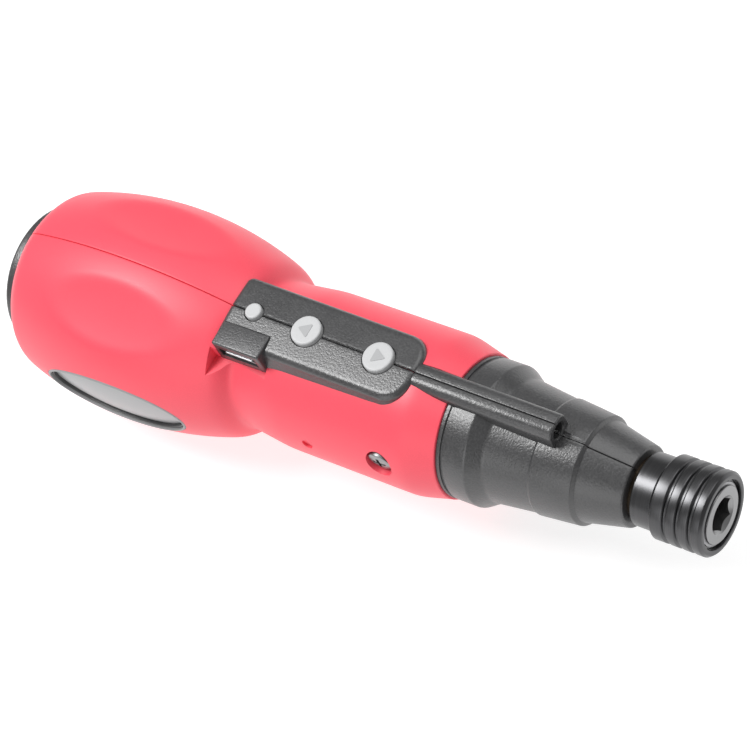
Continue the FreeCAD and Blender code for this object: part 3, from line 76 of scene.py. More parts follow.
# Handle
HANDLE_FRONT, BODY_FRONT, BODY_REAR = -55.0, -62.0, -93.0
NECK_FRONT, NECK_REAR, BULB_FRONT, BULB_MIDDLE, BULB_REAR = -103.2, -104.5, -108.2, -135.0, -159.4
HANDLE_LIP, BODY_RADIUS, NECK_RADIUS, BULB_RADIUS, BULB_END_RADIUS = 15.1, 16.75, 15.6, 23.3, 15.6
SHOULDER_ARC, BULB_ARC, BULB_END_ARC = 6.0, 86.0, 12.0
LIP_LENGTH, LIP_DEPTH, LIP_ROUND = 0.3, 1.0, 0.25
LINE_SPACING, LINE_SOFTNESS = 0.35, 1.1
WALL, BULB_WALL, NOSE_SEAT = 2.2, 3.2, 13.05
OPENING_REAR, OPENING_FRONT, OPENING_HALF = -105.8, -67.4, 7.4

# Seam between the halves: how far its edges stand apart, and how they drop near it
SEAM_HALF, SEAM_CLEAR_DEGREES = 0.07, 1.3
SEAM_PLACES = SEAM_HALF + np.array([0.0, 0.02, 0.06, 0.12, 0.2])
SEAM_DROPS = np.array([0.18, 0.10, 0.045, 0.012, 0.0])

# Finger hollows round the bulb, by their angle from the top towards the left
HOLLOW_DEGREES = (30.0, 90.0, 135.0, 180.0, 225.0, 330.0)
HOLLOW_CURVE, HOLLOW_DEPTH, HOLLOW_BLEND, HOLLOW_LEAN = 60.0, 1.45, 0.55, 0.045
HOLLOW_REACH_ANGLE, NO_HOLLOW = 1.0, 99.0

# Plate on the bulb's right side, its bezel, and a black ring that is partly seal, partly painted shade
PLATE_AT, PLATE_LENGTH, PLATE_WIDTH = -133.2, 35.8, 17.0
PLATE_RECESS, PLATE_SINK, SEAL_SHADE_SINK, BEZEL_PROUD = 1.6, 1.3, 0.55, 0.1
BEZEL_WIDTH, BEZEL_GAP, SEAL_SHADE_WIDTH, SEAL_SHADE_GAP, OVAL_ROUND = 0.6, 0.06, 0.5, 0.03, 0.2
PLATE_EDGE_SHARES, PLATE_EDGE_DROPS = (0.97, 0.985, 0.995, 1.0), (0, 0.02, 0.06, 0.14)

# Casing screw, with places on Y from its seat, and the blind hole beside it
SCREW_AT, SCREW_HEIGHT, SCREW_SEAT, SCREW_POCKET, SCREW_SHANK = -67.4, 4.8, -14.1, 3.0, 1.25
SCREW_LINE = ((-1.7, 0, 0), (-1.65, 1.2, 3.0), (-1.4, 2.6, 0.3), (0, 2.6, 0.1), (0, SCREW_SHANK, 0),
              (6.0, SCREW_SHANK, 0.2), (6.0, 0, 0))
CROSS_LONG, CROSS_NARROW, CROSS_TOP, CROSS_FLOOR = 1.5, 0.36, -2.2, -0.6
BLIND_AT, BLIND_HEIGHT, BLIND_RADIUS, BLIND_DEPTH = -85.5, 2.4, 1.2, 0.6

# Nose from its tip to its spigot in the handle; bores are rows of end station and radius
NOSE_LINE = (
    (-17.0, 6.33, 0), (-17.0, 8.2, 0.5), (-26.3, 10.25, 0.25), (-26.8, 11.1, 0.45), (-35.4, 11.9, 0.45),
    (-35.9, 11.6, 0.2), (-45.5, 12.7, 2.0), (-48.5, 14.6, 1.0), (-53.3, 14.6, 0.06), (-53.4, 14.25, 0.05),
    (-54.0, 14.25, 0.05), (-54.1, 14.6, 0.06), (-55.0, 14.6, 0.15), (-55.0, 13.0, 0), (-61.0, 13.0, 0),
    (-61.0, 4.0, 0),
)
NOSE_BORES = ((-25.4, 6.33), (-37.4, 5.4), (-43.4, 6.33), (-46.2, 8.7), (-62.0, 11.25), (-70.0, 14.5))

# Lamp tube on the nose and the lamp in it, with stations from the tube's rear end
LAMP_REAR, LAMP_HEIGHT, LAMP_LENGTH, LAMP_HALF, LAMP_CORNER, LAMP_RIM = -63.3, 14.25, 31.6, 2.9, 1.9, 0.35
LAMP_CHANNEL = ((-5.0, 0), (-5.0, 1.25), (23.2, 1.25), (23.2, 1.7), (31.3, 1.7), (31.6, 2.0), (37.6, 2.0),
                (37.6, 0))
LAMP_ROOM_SEAM, LAMP_ROOM_START = -0.3, -0.5
LED_START, LED_LENGTH, LED_RADIUS, LED_FLANGE, LED_FLANGE_LENGTH = 23.2, 5.0, 1.5, 1.65, 1.0

# Switch panel
PANEL_FRONT, PANEL_LENGTH, PANEL_TOP, PANEL_HALF, PANEL_DEPTH = -62.8, 44.8, 17.55, 7.5, 8.0
PANEL_CORNER, PANEL_REAR_CORNER, PANEL_RIM, PANEL_WALL, PANEL_SEAM = 5.5, 1.5, 1.4, 1.4, 0.1
PANEL_TILT, PANEL_DRAFT, PANEL_ROOF, PANEL_ROOF_POWER = 1.9, 16.0, 0.6, 1.25
PANEL_GROOVE, PANEL_GROOVE_HALF, PANEL_END_RUN, PANEL_EDGE_SHARE = 0.25, 0.12, 1.6, 0.84
PANEL_SEAM_SHARES = (0, 0.003, 0.008, 0.016, 0.028)
PANEL_SEAT, PANEL_OVERLAP, BOARD_BOTTOM = 0.3, 0.5, 12.8

# Charge port on the panel's right half, the notch for its plug, and the socket in it
PORT_REAR, PORT_FRONT, PORT_REACH, PORT_INNER, PORT_TOP, PORT_ROUND = -106.9, -95.3, 9.1, 3.5, 18.85, 0.45
NOTCH_LENGTH, NOTCH_REACH, NOTCH_WALL, NOTCH_OVERLAP, NOTCH_PAD_SINK = 1.2, 16.0, 1.2, 1.0, 0.6
SOCKET_REAR, SOCKET_LENGTH, SOCKET_LOW, SOCKET_HEIGHT = -104.2, 7.5, 14.6, 2.5
SOCKET_MOUTH, SOCKET_BACK, SOCKET_CORNER, SOCKET_WALL, SOCKET_LEAN = -9.4, -4.2, 0.7, 0.3, 0.3
SOCKET_FLOOR, SOCKET_BACK_ROUND, SOCKET_MOUTH_ROUND, SLOT_ROOM, SLOT_GAP = 0.4, 0.1, 0.12, 1.5, 0.1
TONGUE_INSET, TONGUE_SINK, TONGUE_HALF, TONGUE_ROUND = 1.1, 1.2, 0.3, 0.1

# Buttons: name, station, radius and the way that the mark points along the tool
BUTTONS = (("forward", -71.5, 3.25, 1), ("reverse", -88.6, 3.25, -1), ("lamp", -101.5, 1.8, 0))
BUTTON_PROUD, BUTTON_FLANGE, BUTTON_FOOT, BUTTON_GAP = 0.85, 0.7, 15.4, 0.13
BUTTON_EDGE, FLANGE_ROUND, DISH_SHARE, DISH_ROUND, DISH_SINK, DISH_DEPTH = 0.42, 0.1, 0.6, 3.0, 0.02, 0.03
HOLE_DEPTH, HOLE_FLARE, HOLE_RISE, HOLE_CLEAR = 6.0, 0.35, 0.15, 2.0
MARK_REACH, MARK_ROUND, MARK_ROOT, MARK_PROUD = 1.9, 0.25, 0.3, 0.05

# Chuck sleeve in front of its grip grooves and behind them, and a groove from its own station
SLEEVE_FRONT = ((-6.4, 7.0, 0), (0, 7.0, 0.2), (0, 7.95, 0.25), (-0.6, 8.5, 0.3))
SLEEVE_BACK = ((-11.0, 8.5, 0.25), (-11.7, 7.4, 0.2), (-16.0, 7.4, 0.3), (-16.0, 6.0, 0), (-12.2, 6.0, 0),
               (-12.2, 6.75, 0), (-9.0, 6.75, 0), (-9.0, 6.0, 0), (-6.4, 6.0, 0))
GROOVE_LINE = ((0.1, 8.5, 0.25), (-0.2, 7.95, 0.1), (-0.65, 7.95, 0.1), (-0.95, 8.5, 0.25))
GROOVE_STATIONS = (-2.2, -4.9, -7.6)

# Spring and retaining ring in the sleeve
SPRING_REAR, SPRING_FRONT, SPRING_COIL, SPRING_WIRE = -6.4, -1.7, 6.45, 0.25
SPRING_TURNS, SPRING_STEPS, SPRING_SIDES = 3, 48, 14
RING_LINE = ((-0.6, 5.5, 0), (-0.6, 6.5, 0.15), (-1.2, 6.5, 0.15), (-1.2, 5.5, 0))
RING_GAP_HALF = 1.2

# Spindle with the ring's and the clip's seats, its square tail and its bit socket
SPINDLE_LINE = ((0, 0, 0), (0, 5.9, 0.3), (-0.6, 5.9, 0), (-0.6, 5.5, 0), (-1.2, 5.5, 0), (-1.2, 5.9, 0),
                (-15.6, 5.9, 0.2), (-15.6, 4.5, 0), (-43.5, 4.5, 0), (-43.5, 4.0, 0), (-44.1, 4.0, 0),
                (-44.1, 4.5, 0), (-44.2, 4.5, 0.1), (-44.2, 0, 0))
TAIL_FRONT, TAIL_REAR, TAIL_HALF = -44.0, -48.6, 2.8
HEX_FLATS, HEX_DEPTH, HEX_OVERRUN = 6.4, 12.0, 1.0
HEX_MOUTH_FRONT, HEX_MOUTH_REAR, HEX_MOUTH_SPREAD = 0.2, -0.8, 0.5
MAGNET_BOTTOM, MAGNET_BORE = -14.0, 2.53
BALL_AT, BALL_STEPS = -8.0, ((2.9, 1.5), (9.0, 1.81))

# End cap
CAP_FRONT, DOME_FRONT, TOOL_REAR = -162.6, -164.9, -168.9
CAP_RADIUS, CAP_SPIGOT, CAP_SPIGOT_LENGTH, CAP_SPIGOT_WALL = 15.3, 9.4, 2.0, 1.8
DOME_EDGE, CAP_FOOT_ROUND, CAP_EDGE_ROUND = 1.2, 0.15, 0.9


# Shapes as arrays: a shape is its points and its faces

def grid_quads(rows, columns, wrap_rows=False, wrap_columns=False, start=0):
    """Quads of a grid of points numbered row by row, closed round either way where asked."""
    i = np.arange(rows if wrap_rows else rows - 1)
    j = np.arange(columns if wrap_columns else columns - 1)
    i, j = (a.ravel() for a in np.meshgrid(i, j, indexing="ij"))
    up, right = (i + 1) % rows, (j + 1) % columns
    corners = [i * columns + j, i * columns + right, up * columns + right, up * columns + j]
    return start + np.stack(corners, 1)


def capped_rows(points):
    """A closed tube from rows of points round it, with flat faces on its first and last row."""
    rows, columns = points.shape[:2]
    last = (rows - 1) * columns
    faces = grid_quads(rows, columns, False, True).tolist()
    return points.reshape(-1, 3), faces + [list(range(columns)), list(range(last, last + columns))]


def capped_columns(points):
    """A closed tube from columns of points round it, with flat faces on its first and last column."""
    rows, columns = points.shape[:2]
    first = np.arange(rows) * columns
    faces = grid_quads(rows, columns, True, False).tolist()
    return points.reshape(-1, 3), faces + [first.tolist(), (first + columns - 1).tolist()]


def between_sheets(sheet, other):
    """A closed shape between two sheets of points on like rings, with a wall round their last rings."""
    rows, columns = sheet.shape[:2]
    count = rows * columns
    rim = np.arange(count - columns, count)
    ahead = np.roll(rim, -1)
    wall = np.stack([rim, ahead, ahead + count, rim + count], 1)
    faces = [grid_quads(rows, columns, False, True, start) for start in (0, count)]
    points = np.vstack([sheet.reshape(-1, 3), other.reshape(-1, 3)])
    return points, np.vstack([*faces, wall]).tolist()


def fillet(corners, steps=6):
    """A polyline of (x, y, radius) corners; one with a radius becomes an arc tangent to its two edges."""
    corners = np.array(corners, float)
    runs = [corners[:1, :2]]
    for before, here, after in zip(corners, corners[1:], corners[2:]):
        if here[2] <= 0:
            runs.append(here[None, :2])
            continue
        to, on = (here - before)[:2], (after - here)[:2]
        to, on = to / np.hypot(*to), on / np.hypot(*on)
        turn = np.arctan2(to[0] * on[1] - to[1] * on[0], to @ on)
        trim = here[2] * np.tan(abs(turn) / 2)
        side = np.sign(turn) * np.array([-to[1], to[0]])
        centre = here[:2] - to * trim + side * here[2]
        sweep = turn * np.linspace(0, 1, steps + 1)[:, None]
        spoke = -side * np.cos(sweep) + to * np.sin(abs(sweep))
        runs.append(centre + here[2] * spoke)
    runs.append(corners[-1:, :2])
    return np.vstack(runs)


def stepped(start, steps):
    """The outline of a bar of rounds from a station on, given as (end station, radius) steps."""
    line = [(start, 0)]
    for end, radius in steps:
        line += [(start, radius), (end, radius)]
        start = end
    return line + [(start, 0)]


def arc_points(start, end, radius, steps):
    """Points on the arc of a radius from start to end that bulges to the right of that way."""
    start, end = np.array(start, float), np.array(end, float)
    chord = end - start
    length = np.hypot(*chord)
    left = np.array([-chord[1], chord[0]]) / length
    centre = (start + end) / 2 + left * np.sqrt(radius ** 2 - length ** 2 / 4)
    first, last = (np.arctan2(*(p - centre)[::-1]) for p in (start, end))
    if last < first:
        last += 2 * np.pi
    sweep = np.linspace(first, last, steps)
    return centre + radius * np.stack([np.cos(sweep), np.sin(sweep)], 1)


def evenly(line, spacing):
    """A polyline resampled to points an equal way apart along it."""
    way = np.concatenate([[0], np.cumsum(np.hypot(*np.diff(line, axis=0).T))])
    places = np.linspace(0, way[-1], max(2, int(np.ceil(way[-1] / spacing)) + 1))
    return np.stack([np.interp(places, way, line[:, k]) for k in range(2)], 1)


def softened(line, spacing, width):
    """An even polyline averaged along itself with a bell-shaped weight of that width; its ends stay."""
    line = evenly(line, spacing)
    reach = int(np.ceil(3 * width / spacing))
    weight = np.exp(-0.5 * (np.arange(-reach, reach + 1) * spacing / width) ** 2)
    weight /= weight.sum()
    padded = np.vstack([2 * line[0] - line[reach:0:-1], line, 2 * line[-1] - line[-2:-reach - 2:-1]])
    return np.stack([np.convolve(padded[:, k], weight, "valid") for k in range(2)], 1)


def turned(loop, turns=128):
    """A closed loop of (station, radius) carried round the tool's axis: y = r sin t, z = r cos t."""
    angle = np.linspace(0, 2 * np.pi, turns, endpoint=False)
    x, r = np.asarray(loop, float).T
    x = np.broadcast_to(x[:, None], (len(x), turns))
    points = np.stack([x, r[:, None] * np.sin(angle), r[:, None] * np.cos(angle)], -1)
    return points.reshape(-1, 3), grid_quads(*points.shape[:2], True, True).tolist()


def half_turned(loop, side, outer, relief=None, turns=140):
    """Half a turning: a closed loop of (station, radius) carried from the top seam to the bottom one. Outer
    points are reshaped by relief(station, radius, angle), then drop by a quarter round at each seam."""
    x, r = np.asarray(loop, float).T
    lead_in = np.arcsin(SEAM_PLACES / r[:, None])
    sweep = np.radians(np.linspace(SEAM_CLEAR_DEGREES, 180 - SEAM_CLEAR_DEGREES, turns))
    angle = np.hstack([lead_in, np.broadcast_to(sweep, (len(x), turns)), np.pi - lead_in[:, ::-1]])
    drop = np.concatenate([SEAM_DROPS, np.zeros(turns), SEAM_DROPS[::-1]])
    radius = np.broadcast_to(r[:, None], angle.shape).copy()
    if relief is not None:
        radius[outer] = relief(x[outer, None], radius[outer], side * angle[outer])
    radius[outer] -= drop
    across = side * radius * np.sin(angle)
    along = np.broadcast_to(x[:, None], angle.shape)
    return capped_columns(np.stack([along, across, radius * np.cos(angle)], -1))


def box_points(low, high):
    """A box between two corners, with its six faces."""
    low, high = np.array(low, float), np.array(high, float)
    pick = np.array([[a, b, c] for a in (0, 1) for b in (0, 1) for c in (0, 1)])
    faces = [[0, 1, 3, 2], [4, 6, 7, 5], [0, 4, 5, 1], [2, 3, 7, 6], [0, 2, 6, 4], [1, 5, 7, 3]]
    return np.where(pick, high, low), faces


def rounded_box(low, high, radius, steps=6):
    """A box with rounded edges: a sphere's grid with its eighths pushed apart to the box's corners."""
    low, high = np.array(low, float) + radius, np.array(high, float) - radius
    quarter = np.linspace(0, np.pi / 2, steps)
    around = np.concatenate([quarter + k * np.pi / 2 for k in range(4)])
    rise = np.concatenate([quarter - np.pi / 2, quarter])
    a, b = np.meshgrid(around, rise, indexing="ij")
    unit = np.stack([np.cos(b) * np.cos(a), np.cos(b) * np.sin(a), np.sin(b)], -1)
    step = np.arange(4 * steps) // steps
    sign = np.stack([np.isin(step, (0, 3)), np.isin(step, (0, 1))], 1)[:, None, :].repeat(2 * steps, 1)
    top = np.broadcast_to((np.arange(2 * steps) >= steps)[None, :, None], (*a.shape, 1))
    return capped_columns(np.where(np.concatenate([sign, top], -1), high, low) + radius * unit)


def prism(outline, low, high):
    """A flat outline of (x, y) points raised from one height to another."""
    count = len(outline)
    return capped_rows(np.stack([np.column_stack([outline, np.full(count, h)]) for h in (low, high)]))


def leaned(shape, x, z):
    """A shape given along the panel's slope from a point on it, leaned with the slope and put there."""
    tilt = np.radians(PANEL_TILT)
    sine, cosine = np.sin(tilt), np.cos(tilt)
    along, across, up = shape[0].T
    return np.stack([x + along * cosine + up * sine, across, z - along * sine + up * cosine], 1), shape[1]


def on_lamp(shape):
    """A shape given along the lamp tube's axis, put in its place."""
    return leaned(shape, LAMP_REAR, LAMP_HEIGHT)


def sideways(shape, x, z):
    """A turning about the tool's axis stood along Y through a point; its stations become places on Y."""
    points, faces = shape
    return np.stack([x + points[:, 1], points[:, 0], z + points[:, 2]], 1), faces


def upright(shape, x):
    """A turning about the tool's axis stood along Z at a station; its stations become heights."""
    points, faces = shape
    return np.stack([x + points[:, 1], points[:, 2], points[:, 0]], 1), faces


# Meshes and pieces

MERGE_DISTANCE, SHARP_DEGREES = 2e-7, 32.0


def mesh_of(name, points, faces):
    """A mesh from points in millimetres, with doubled points merged and faces turned outwards."""
    mesh = bpy.data.meshes.new(name)
    mesh.from_pydata((np.asarray(points) * MM).tolist(), [], faces)
    work = bmesh.new()
    work.from_mesh(mesh)
    bmesh.ops.remove_doubles(work, verts=work.verts, dist=MERGE_DISTANCE)
    bmesh.ops.recalc_face_normals(work, faces=work.faces)
    work.to_mesh(mesh)
    work.free()
    return mesh


def thing(name, shape):
    """A new object in the scene from a shape."""
    item = bpy.data.objects.new(name, mesh_of(name, *shape))
    bpy.context.scene.collection.objects.link(item)
    return item


def carve(item, tools, way="DIFFERENCE"):
    """Cuts or joins closed shapes with a piece and keeps the result as its mesh."""
    helpers = [thing(f"{item.name}_tool_{number}", shape) for number, shape in enumerate(tools)]
    for helper in helpers:
        step = item.modifiers.new("carve", "BOOLEAN")
        step.operation = way
        step.object = helper
        step.solver = "MANIFOLD"
    seen = item.evaluated_get(bpy.context.evaluated_depsgraph_get())
    item.data = bpy.data.meshes.new_from_object(seen)
    item.modifiers.clear()
    for helper in helpers:
        bpy.data.objects.remove(helper)
    return item


def carved(shape, tools, way="DIFFERENCE"):
    """A shape cut by others, or joined or shared with them, as a new shape."""
    item = carve(thing("blank", shape), tools, way)
    points = np.empty(len(item.data.vertices) * 3)
    item.data.vertices.foreach_get("co", points)
    faces = [list(face.vertices) for face in item.data.polygons]
    bpy.data.objects.remove(item)
    return points.reshape(-1, 3) / MM, faces


def dress(item, material, body, slot, *stands_for):
    """Smooth shading with crisp edges, the material, the body that the piece moves with, and hiding the
    solids that it stands for.
    """
    mesh = item.data
    mesh.polygons.foreach_set("use_smooth", np.ones(len(mesh.polygons), bool))
    mesh.set_sharp_from_angle(angle=np.radians(SHARP_DEGREES))
    mesh.materials.clear()
    mesh.materials.append(material)
    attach(item, body)
    if stands_for:
        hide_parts(*stands_for)


# Materials: shared effects are node groups

def new_group(name, inputs, outputs):
    """An empty node group with number inputs, given with their values, and number outputs."""
    group = bpy.data.node_groups.new(name, "ShaderNodeTree")
    for label, value in inputs:
        socket = group.interface.new_socket(label, in_out="INPUT", socket_type="NodeSocketFloat")
        socket.default_value = value
    for label in outputs:
        group.interface.new_socket(label, in_out="OUTPUT", socket_type="NodeSocketFloat")
    return group, group.nodes.new("NodeGroupInput"), group.nodes.new("NodeGroupOutput")


def node(tree, kind, links=(), **values):
    """A node with its settings; links are (input, socket that feeds it), and a number sets the input."""
    item = tree.nodes.new(kind)
    for key, value in values.items():
        setattr(item, key, value)
    for place, source in links:
        if isinstance(source, bpy.types.NodeSocket):
            tree.links.new(source, item.inputs[place])
        else:
            item.inputs[place].default_value = source
    return item


def math_node(tree, how, *terms):
    return node(tree, "ShaderNodeMath", list(enumerate(terms)), operation=how).outputs[0]


def weighted(tree, first, first_share, second, second_share):
    """The sum of two sockets, each times its share."""
    shares = (math_node(tree, "MULTIPLY", *pair) for pair in ((first, first_share), (second, second_share)))
    return math_node(tree, "ADD", *shares)


def noise(tree, where, scale, detail, **inputs):
    links = [("Vector", where), ("Scale", scale), ("Detail", detail), *inputs.items()]
    return node(tree, "ShaderNodeTexNoise", links).outputs["Fac"]


FINE_SHARE, PIT_SHARE, HEIGHT_SHARE, MOTTLE_SHARE, RING_SHARE = 0.6, 0.5, 0.7, 0.3, 0.5


def make_grain_group():
    """Spark-eroded mould grain: fine round pits over a slow mottle, as a height and a tone near one half."""
    inputs = [("Fineness", 2600.0), ("Mottle", 90.0)]
    group, start, end = new_group("mould_grain", inputs, ["Height", "Tone"])
    where = node(group, "ShaderNodeTexCoord").outputs["Object"]
    fineness = start.outputs["Fineness"]
    fine = noise(group, where, fineness, 2.0, Roughness=0.6)
    pits = node(group, "ShaderNodeTexVoronoi", [("Vector", where), ("Scale", fineness)],
                feature="SMOOTH_F1").outputs["Distance"]
    slow = noise(group, where, start.outputs["Mottle"], 3.0)
    height = weighted(group, fine, FINE_SHARE, pits, PIT_SHARE)
    group.links.new(height, end.inputs["Height"])
    group.links.new(weighted(group, height, HEIGHT_SHARE, slow, MOTTLE_SHARE), end.inputs["Tone"])
    return group


def make_lathe_group():
    """Fine rings left by turning: noise stretched round the tool's axis, read by station and by radius."""
    group, start, end = new_group("lathe_rings", [("Pitch", 4000.0), ("Waver", 60.0)], ["Height", "Tone"])
    where = node(group, "ShaderNodeTexCoord").outputs["Object"]
    split = node(group, "ShaderNodeSeparateXYZ", [(0, where)])
    squares = (math_node(group, "POWER", split.outputs[k], 2.0) for k in (1, 2))
    radius = math_node(group, "SQRT", math_node(group, "ADD", *squares))
    place = node(group, "ShaderNodeCombineXYZ", [(0, split.outputs[0]), (1, radius)]).outputs[0]
    rings = noise(group, place, start.outputs["Pitch"], 2.0)
    slow = noise(group, where, start.outputs["Waver"], 2.0)
    group.links.new(rings, end.inputs["Height"])
    tone = math_node(group, "MULTIPLY", math_node(group, "ADD", rings, slow), RING_SHARE)
    group.links.new(tone, end.inputs["Tone"])
    return group


def new_material(name, settings):
    """A material, its node tree and its shader with settings by their labels."""
    material = bpy.data.materials.new(name)
    material.use_nodes = True
    shader = material.node_tree.nodes["Principled BSDF"]
    for label, value in settings.items():
        shader.inputs[label].default_value = value
    return material, material.node_tree, shader


def add_bump(tree, shader, effect, strength, height):
    """A bump from an effect's height, given in millimetres."""
    links = [("Height", effect.outputs["Height"]), ("Strength", strength), ("Distance", height * MM)]
    tree.links.new(node(tree, "ShaderNodeBump", links).outputs["Normal"], shader.inputs["Normal"])


TONE_LOW, TONE_HIGH = 0.25, 0.75


def surface(name, dark, light, rough, effect_values, bump, height, metal=0.0, specular=0.5):
    """A material whose colour, roughness and bump follow an effect; dark and light are its two tones."""
    material, tree, shader = new_material(name, {"Metallic": metal, "Specular IOR Level": specular})
    group, values = effect_values
    effect = node(tree, "ShaderNodeGroup", values.items(), node_tree=group)
    tone = effect.outputs["Tone"]
    tint = node(tree, "ShaderNodeMix", [("Factor", tone)], data_type="RGBA")
    tint.inputs["A"].default_value = (*dark, 1)
    tint.inputs["B"].default_value = (*light, 1)
    tree.links.new(tint.outputs["Result"], shader.inputs["Base Color"])
    links = [("Value", tone), ("From Min", TONE_LOW), ("From Max", TONE_HIGH), ("To Min", rough[0]),
             ("To Max", rough[1])]
    spread = node(tree, "ShaderNodeMapRange", links)
    tree.links.new(spread.outputs["Result"], shader.inputs["Roughness"])
    add_bump(tree, shader, effect, bump, height)
    return material


grain = make_grain_group()
lathe = make_lathe_group()
FINE = (grain, {"Fineness": 4200.0, "Mottle": 60.0})
SPARK = (grain, {"Fineness": 2600.0, "Mottle": 120.0})
CLOSE = (grain, {"Fineness": 6000.0, "Mottle": 200.0})
RINGS = (lathe, {"Pitch": 5200.0, "Waver": 90.0})

# Dark and light tone, roughness range, effect, strength and height of its bump, then metal and specular
LOOKS = {
    "red_plastic": ((0.80, 0.060, 0.095), (0.95, 0.090, 0.130), (0.36, 0.50), FINE, 0.12, 0.06),
    "black_plastic": ((0.01, 0.01, 0.011), (0.07, 0.07, 0.072), (0.26, 0.42), SPARK, 0.5, 0.12, 0.0, 0.85),
    "grey_plastic": ((0.46, 0.465, 0.47), (0.56, 0.565, 0.57), (0.38, 0.50), CLOSE, 0.1, 0.04),
    "mark_grey": ((0.33, 0.335, 0.34), (0.42, 0.425, 0.43), (0.50, 0.60), CLOSE, 0.15, 0.04),
    "bezel_grey": ((0.24, 0.24, 0.245), (0.32, 0.32, 0.325), (0.38, 0.50), CLOSE, 0.15, 0.04),
    "white_plastic": ((0.72, 0.72, 0.70), (0.85, 0.85, 0.83), (0.40, 0.55), CLOSE, 0.1, 0.04),
    "plate_silver": ((0.30, 0.305, 0.31), (0.42, 0.425, 0.43), (0.30, 0.42), CLOSE, 0.15, 0.03, 0.6),
    "board_green": ((0.015, 0.10, 0.04), (0.03, 0.20, 0.08), (0.30, 0.45), CLOSE, 0.1, 0.03),
    "bright_steel": ((0.42, 0.42, 0.43), (0.60, 0.60, 0.61), (0.20, 0.34), RINGS, 0.06, 0.03, 1.0),
    "gear_steel": ((0.24, 0.24, 0.25), (0.42, 0.42, 0.43), (0.32, 0.50), SPARK, 0.2, 0.04, 1.0),
    "spindle_steel": ((0.20, 0.20, 0.203), (0.36, 0.36, 0.365), (0.26, 0.42), RINGS, 0.08, 0.03, 1.0),
    "black_steel": ((0.05, 0.05, 0.052), (0.13, 0.13, 0.134), (0.26, 0.40), RINGS, 0.1, 0.03, 1.0),
    # Bronze darkened nearly to black: painted shade of the dark gap at the nose's tip, where the bush shows
    "bronze": ((0.035, 0.028, 0.022), (0.09, 0.07, 0.05), (0.40, 0.55), SPARK, 0.2, 0.04, 1.0),
    "copper": ((0.55, 0.25, 0.12), (0.75, 0.38, 0.20), (0.20, 0.35), RINGS, 0.05, 0.02, 1.0),
    "cell_wrap": ((0.03, 0.12, 0.34), (0.05, 0.18, 0.46), (0.20, 0.32), FINE, 0.05, 0.03),
    "lead_cover": ((0.36, 0.015, 0.015), (0.50, 0.03, 0.03), (0.35, 0.50), FINE, 0.1, 0.03),
}
GLASS = {"Base Color": (0.93, 0.92, 0.84, 1), "Roughness": 0.08, "Transmission Weight": 0.8, "IOR": 1.5}
GLASS_BUMP, GLASS_BUMP_HEIGHT = 0.03, 0.02


def make_lamp_glass():
    """Clear lamp epoxy with a faint warm tint."""
    material, tree, shader = new_material("lamp_glass", GLASS)
    effect = node(tree, "ShaderNodeGroup", node_tree=grain)
    add_bump(tree, shader, effect, GLASS_BUMP, GLASS_BUMP_HEIGHT)
    return material


looks = {name: surface(name, *values) for name, values in LOOKS.items()}
looks["lamp_glass"] = make_lamp_glass()
slot_of = {part["node"]: part["material_slot"] for part in frame["record"]["subparts"]}
for name, item in nodes.items():
    item.data.materials.clear()
    item.data.materials.append(looks[slot_of[name]])


# Handle

def bulb_radius(x):
    return BULB_RADIUS - BULB_ARC + np.sqrt(BULB_ARC ** 2 - (x - BULB_MIDDLE) ** 2)


def handle_line():
    """The handle's outside from its front edge to the end cap's seat, with its corners softened."""
    shoulder_end = (BULB_FRONT, bulb_radius(BULB_FRONT))
    shoulder = arc_points((NECK_REAR, NECK_RADIUS), shoulder_end, SHOULDER_ARC, steps=12)
    stations = np.linspace(BULB_FRONT, BULB_REAR, 60)[1:]
    bulb = np.stack([stations, bulb_radius(stations)], 1)
    end = arc_points(bulb[-1], (CAP_FRONT, BULB_END_RADIUS), BULB_END_ARC, steps=16)
    corners = [(HANDLE_FRONT - LIP_LENGTH, HANDLE_LIP), (BODY_FRONT, BODY_RADIUS), (BODY_REAR, BODY_RADIUS),
               (NECK_FRONT, NECK_RADIUS)]
    line = softened(np.vstack([corners, shoulder, bulb, end[1:]]), LINE_SPACING, LINE_SOFTNESS)
    lip = fillet([(HANDLE_FRONT, HANDLE_LIP - LIP_DEPTH, 0), (HANDLE_FRONT, HANDLE_LIP - FIT, LIP_ROUND),
                  (*line[1], 0)])
    return np.vstack([lip, line[2:]])


def hollowed(x, radius, angle):
    """The radius drawn in where wide cylinders along the bulb would cut it: the smaller of it and the way
    to the cylinder along the same spoke, blended over a short step. They lean to the axis at the front."""
    far = BULB_RADIUS - HOLLOW_DEPTH + HOLLOW_CURVE - HOLLOW_LEAN * (x - BULB_MIDDLE)
    for place in HOLLOW_DEGREES:
        turn = (angle - np.radians(place) + np.pi) % (2 * np.pi) - np.pi
        inside = HOLLOW_CURVE ** 2 - (far * np.sin(turn)) ** 2
        met = (inside > 0) & (np.abs(turn) < HOLLOW_REACH_ANGLE)
        spoke = np.where(met, far * np.cos(turn) - np.sqrt(np.maximum(inside, 0)), NO_HOLLOW)
        share = np.clip(0.5 + 0.5 * (spoke - radius) / HOLLOW_BLEND, 0, 1)
        radius = spoke * (1 - share) + radius * share - HOLLOW_BLEND * share * (1 - share)
    return radius


outside = handle_line()


def handle_radius(x):
    return np.interp(-np.asarray(x, float), -outside[:, 0], outside[:, 1])


def under_handle(x, z, depth):
    """The place on Y of points on the handle's right side, a depth under its outside."""
    return -np.sqrt((handle_radius(x) - depth) ** 2 - z ** 2)


def oval_points(share, angle, length, width):
    """Stations and heights on rings of the plate's oval, at shares of its size."""
    return PLATE_AT + share * np.cos(angle) * length / 2, share * np.sin(angle) * width / 2


def oval_block(length, width, depth):
    """An oval bar on the bulb's right side: its inner face is a depth under the bulb, its outer flat."""
    share = np.linspace(0, 1, 11)[:, None]
    angle = np.linspace(0, 2 * np.pi, 96, endpoint=False)
    x, z = oval_points(share, angle, length, width)
    inner, outer = under_handle(x, z, depth), np.full_like(x, -REACH)
    return between_sheets(*(np.stack([x, y, z], -1) for y in (inner, outer)))


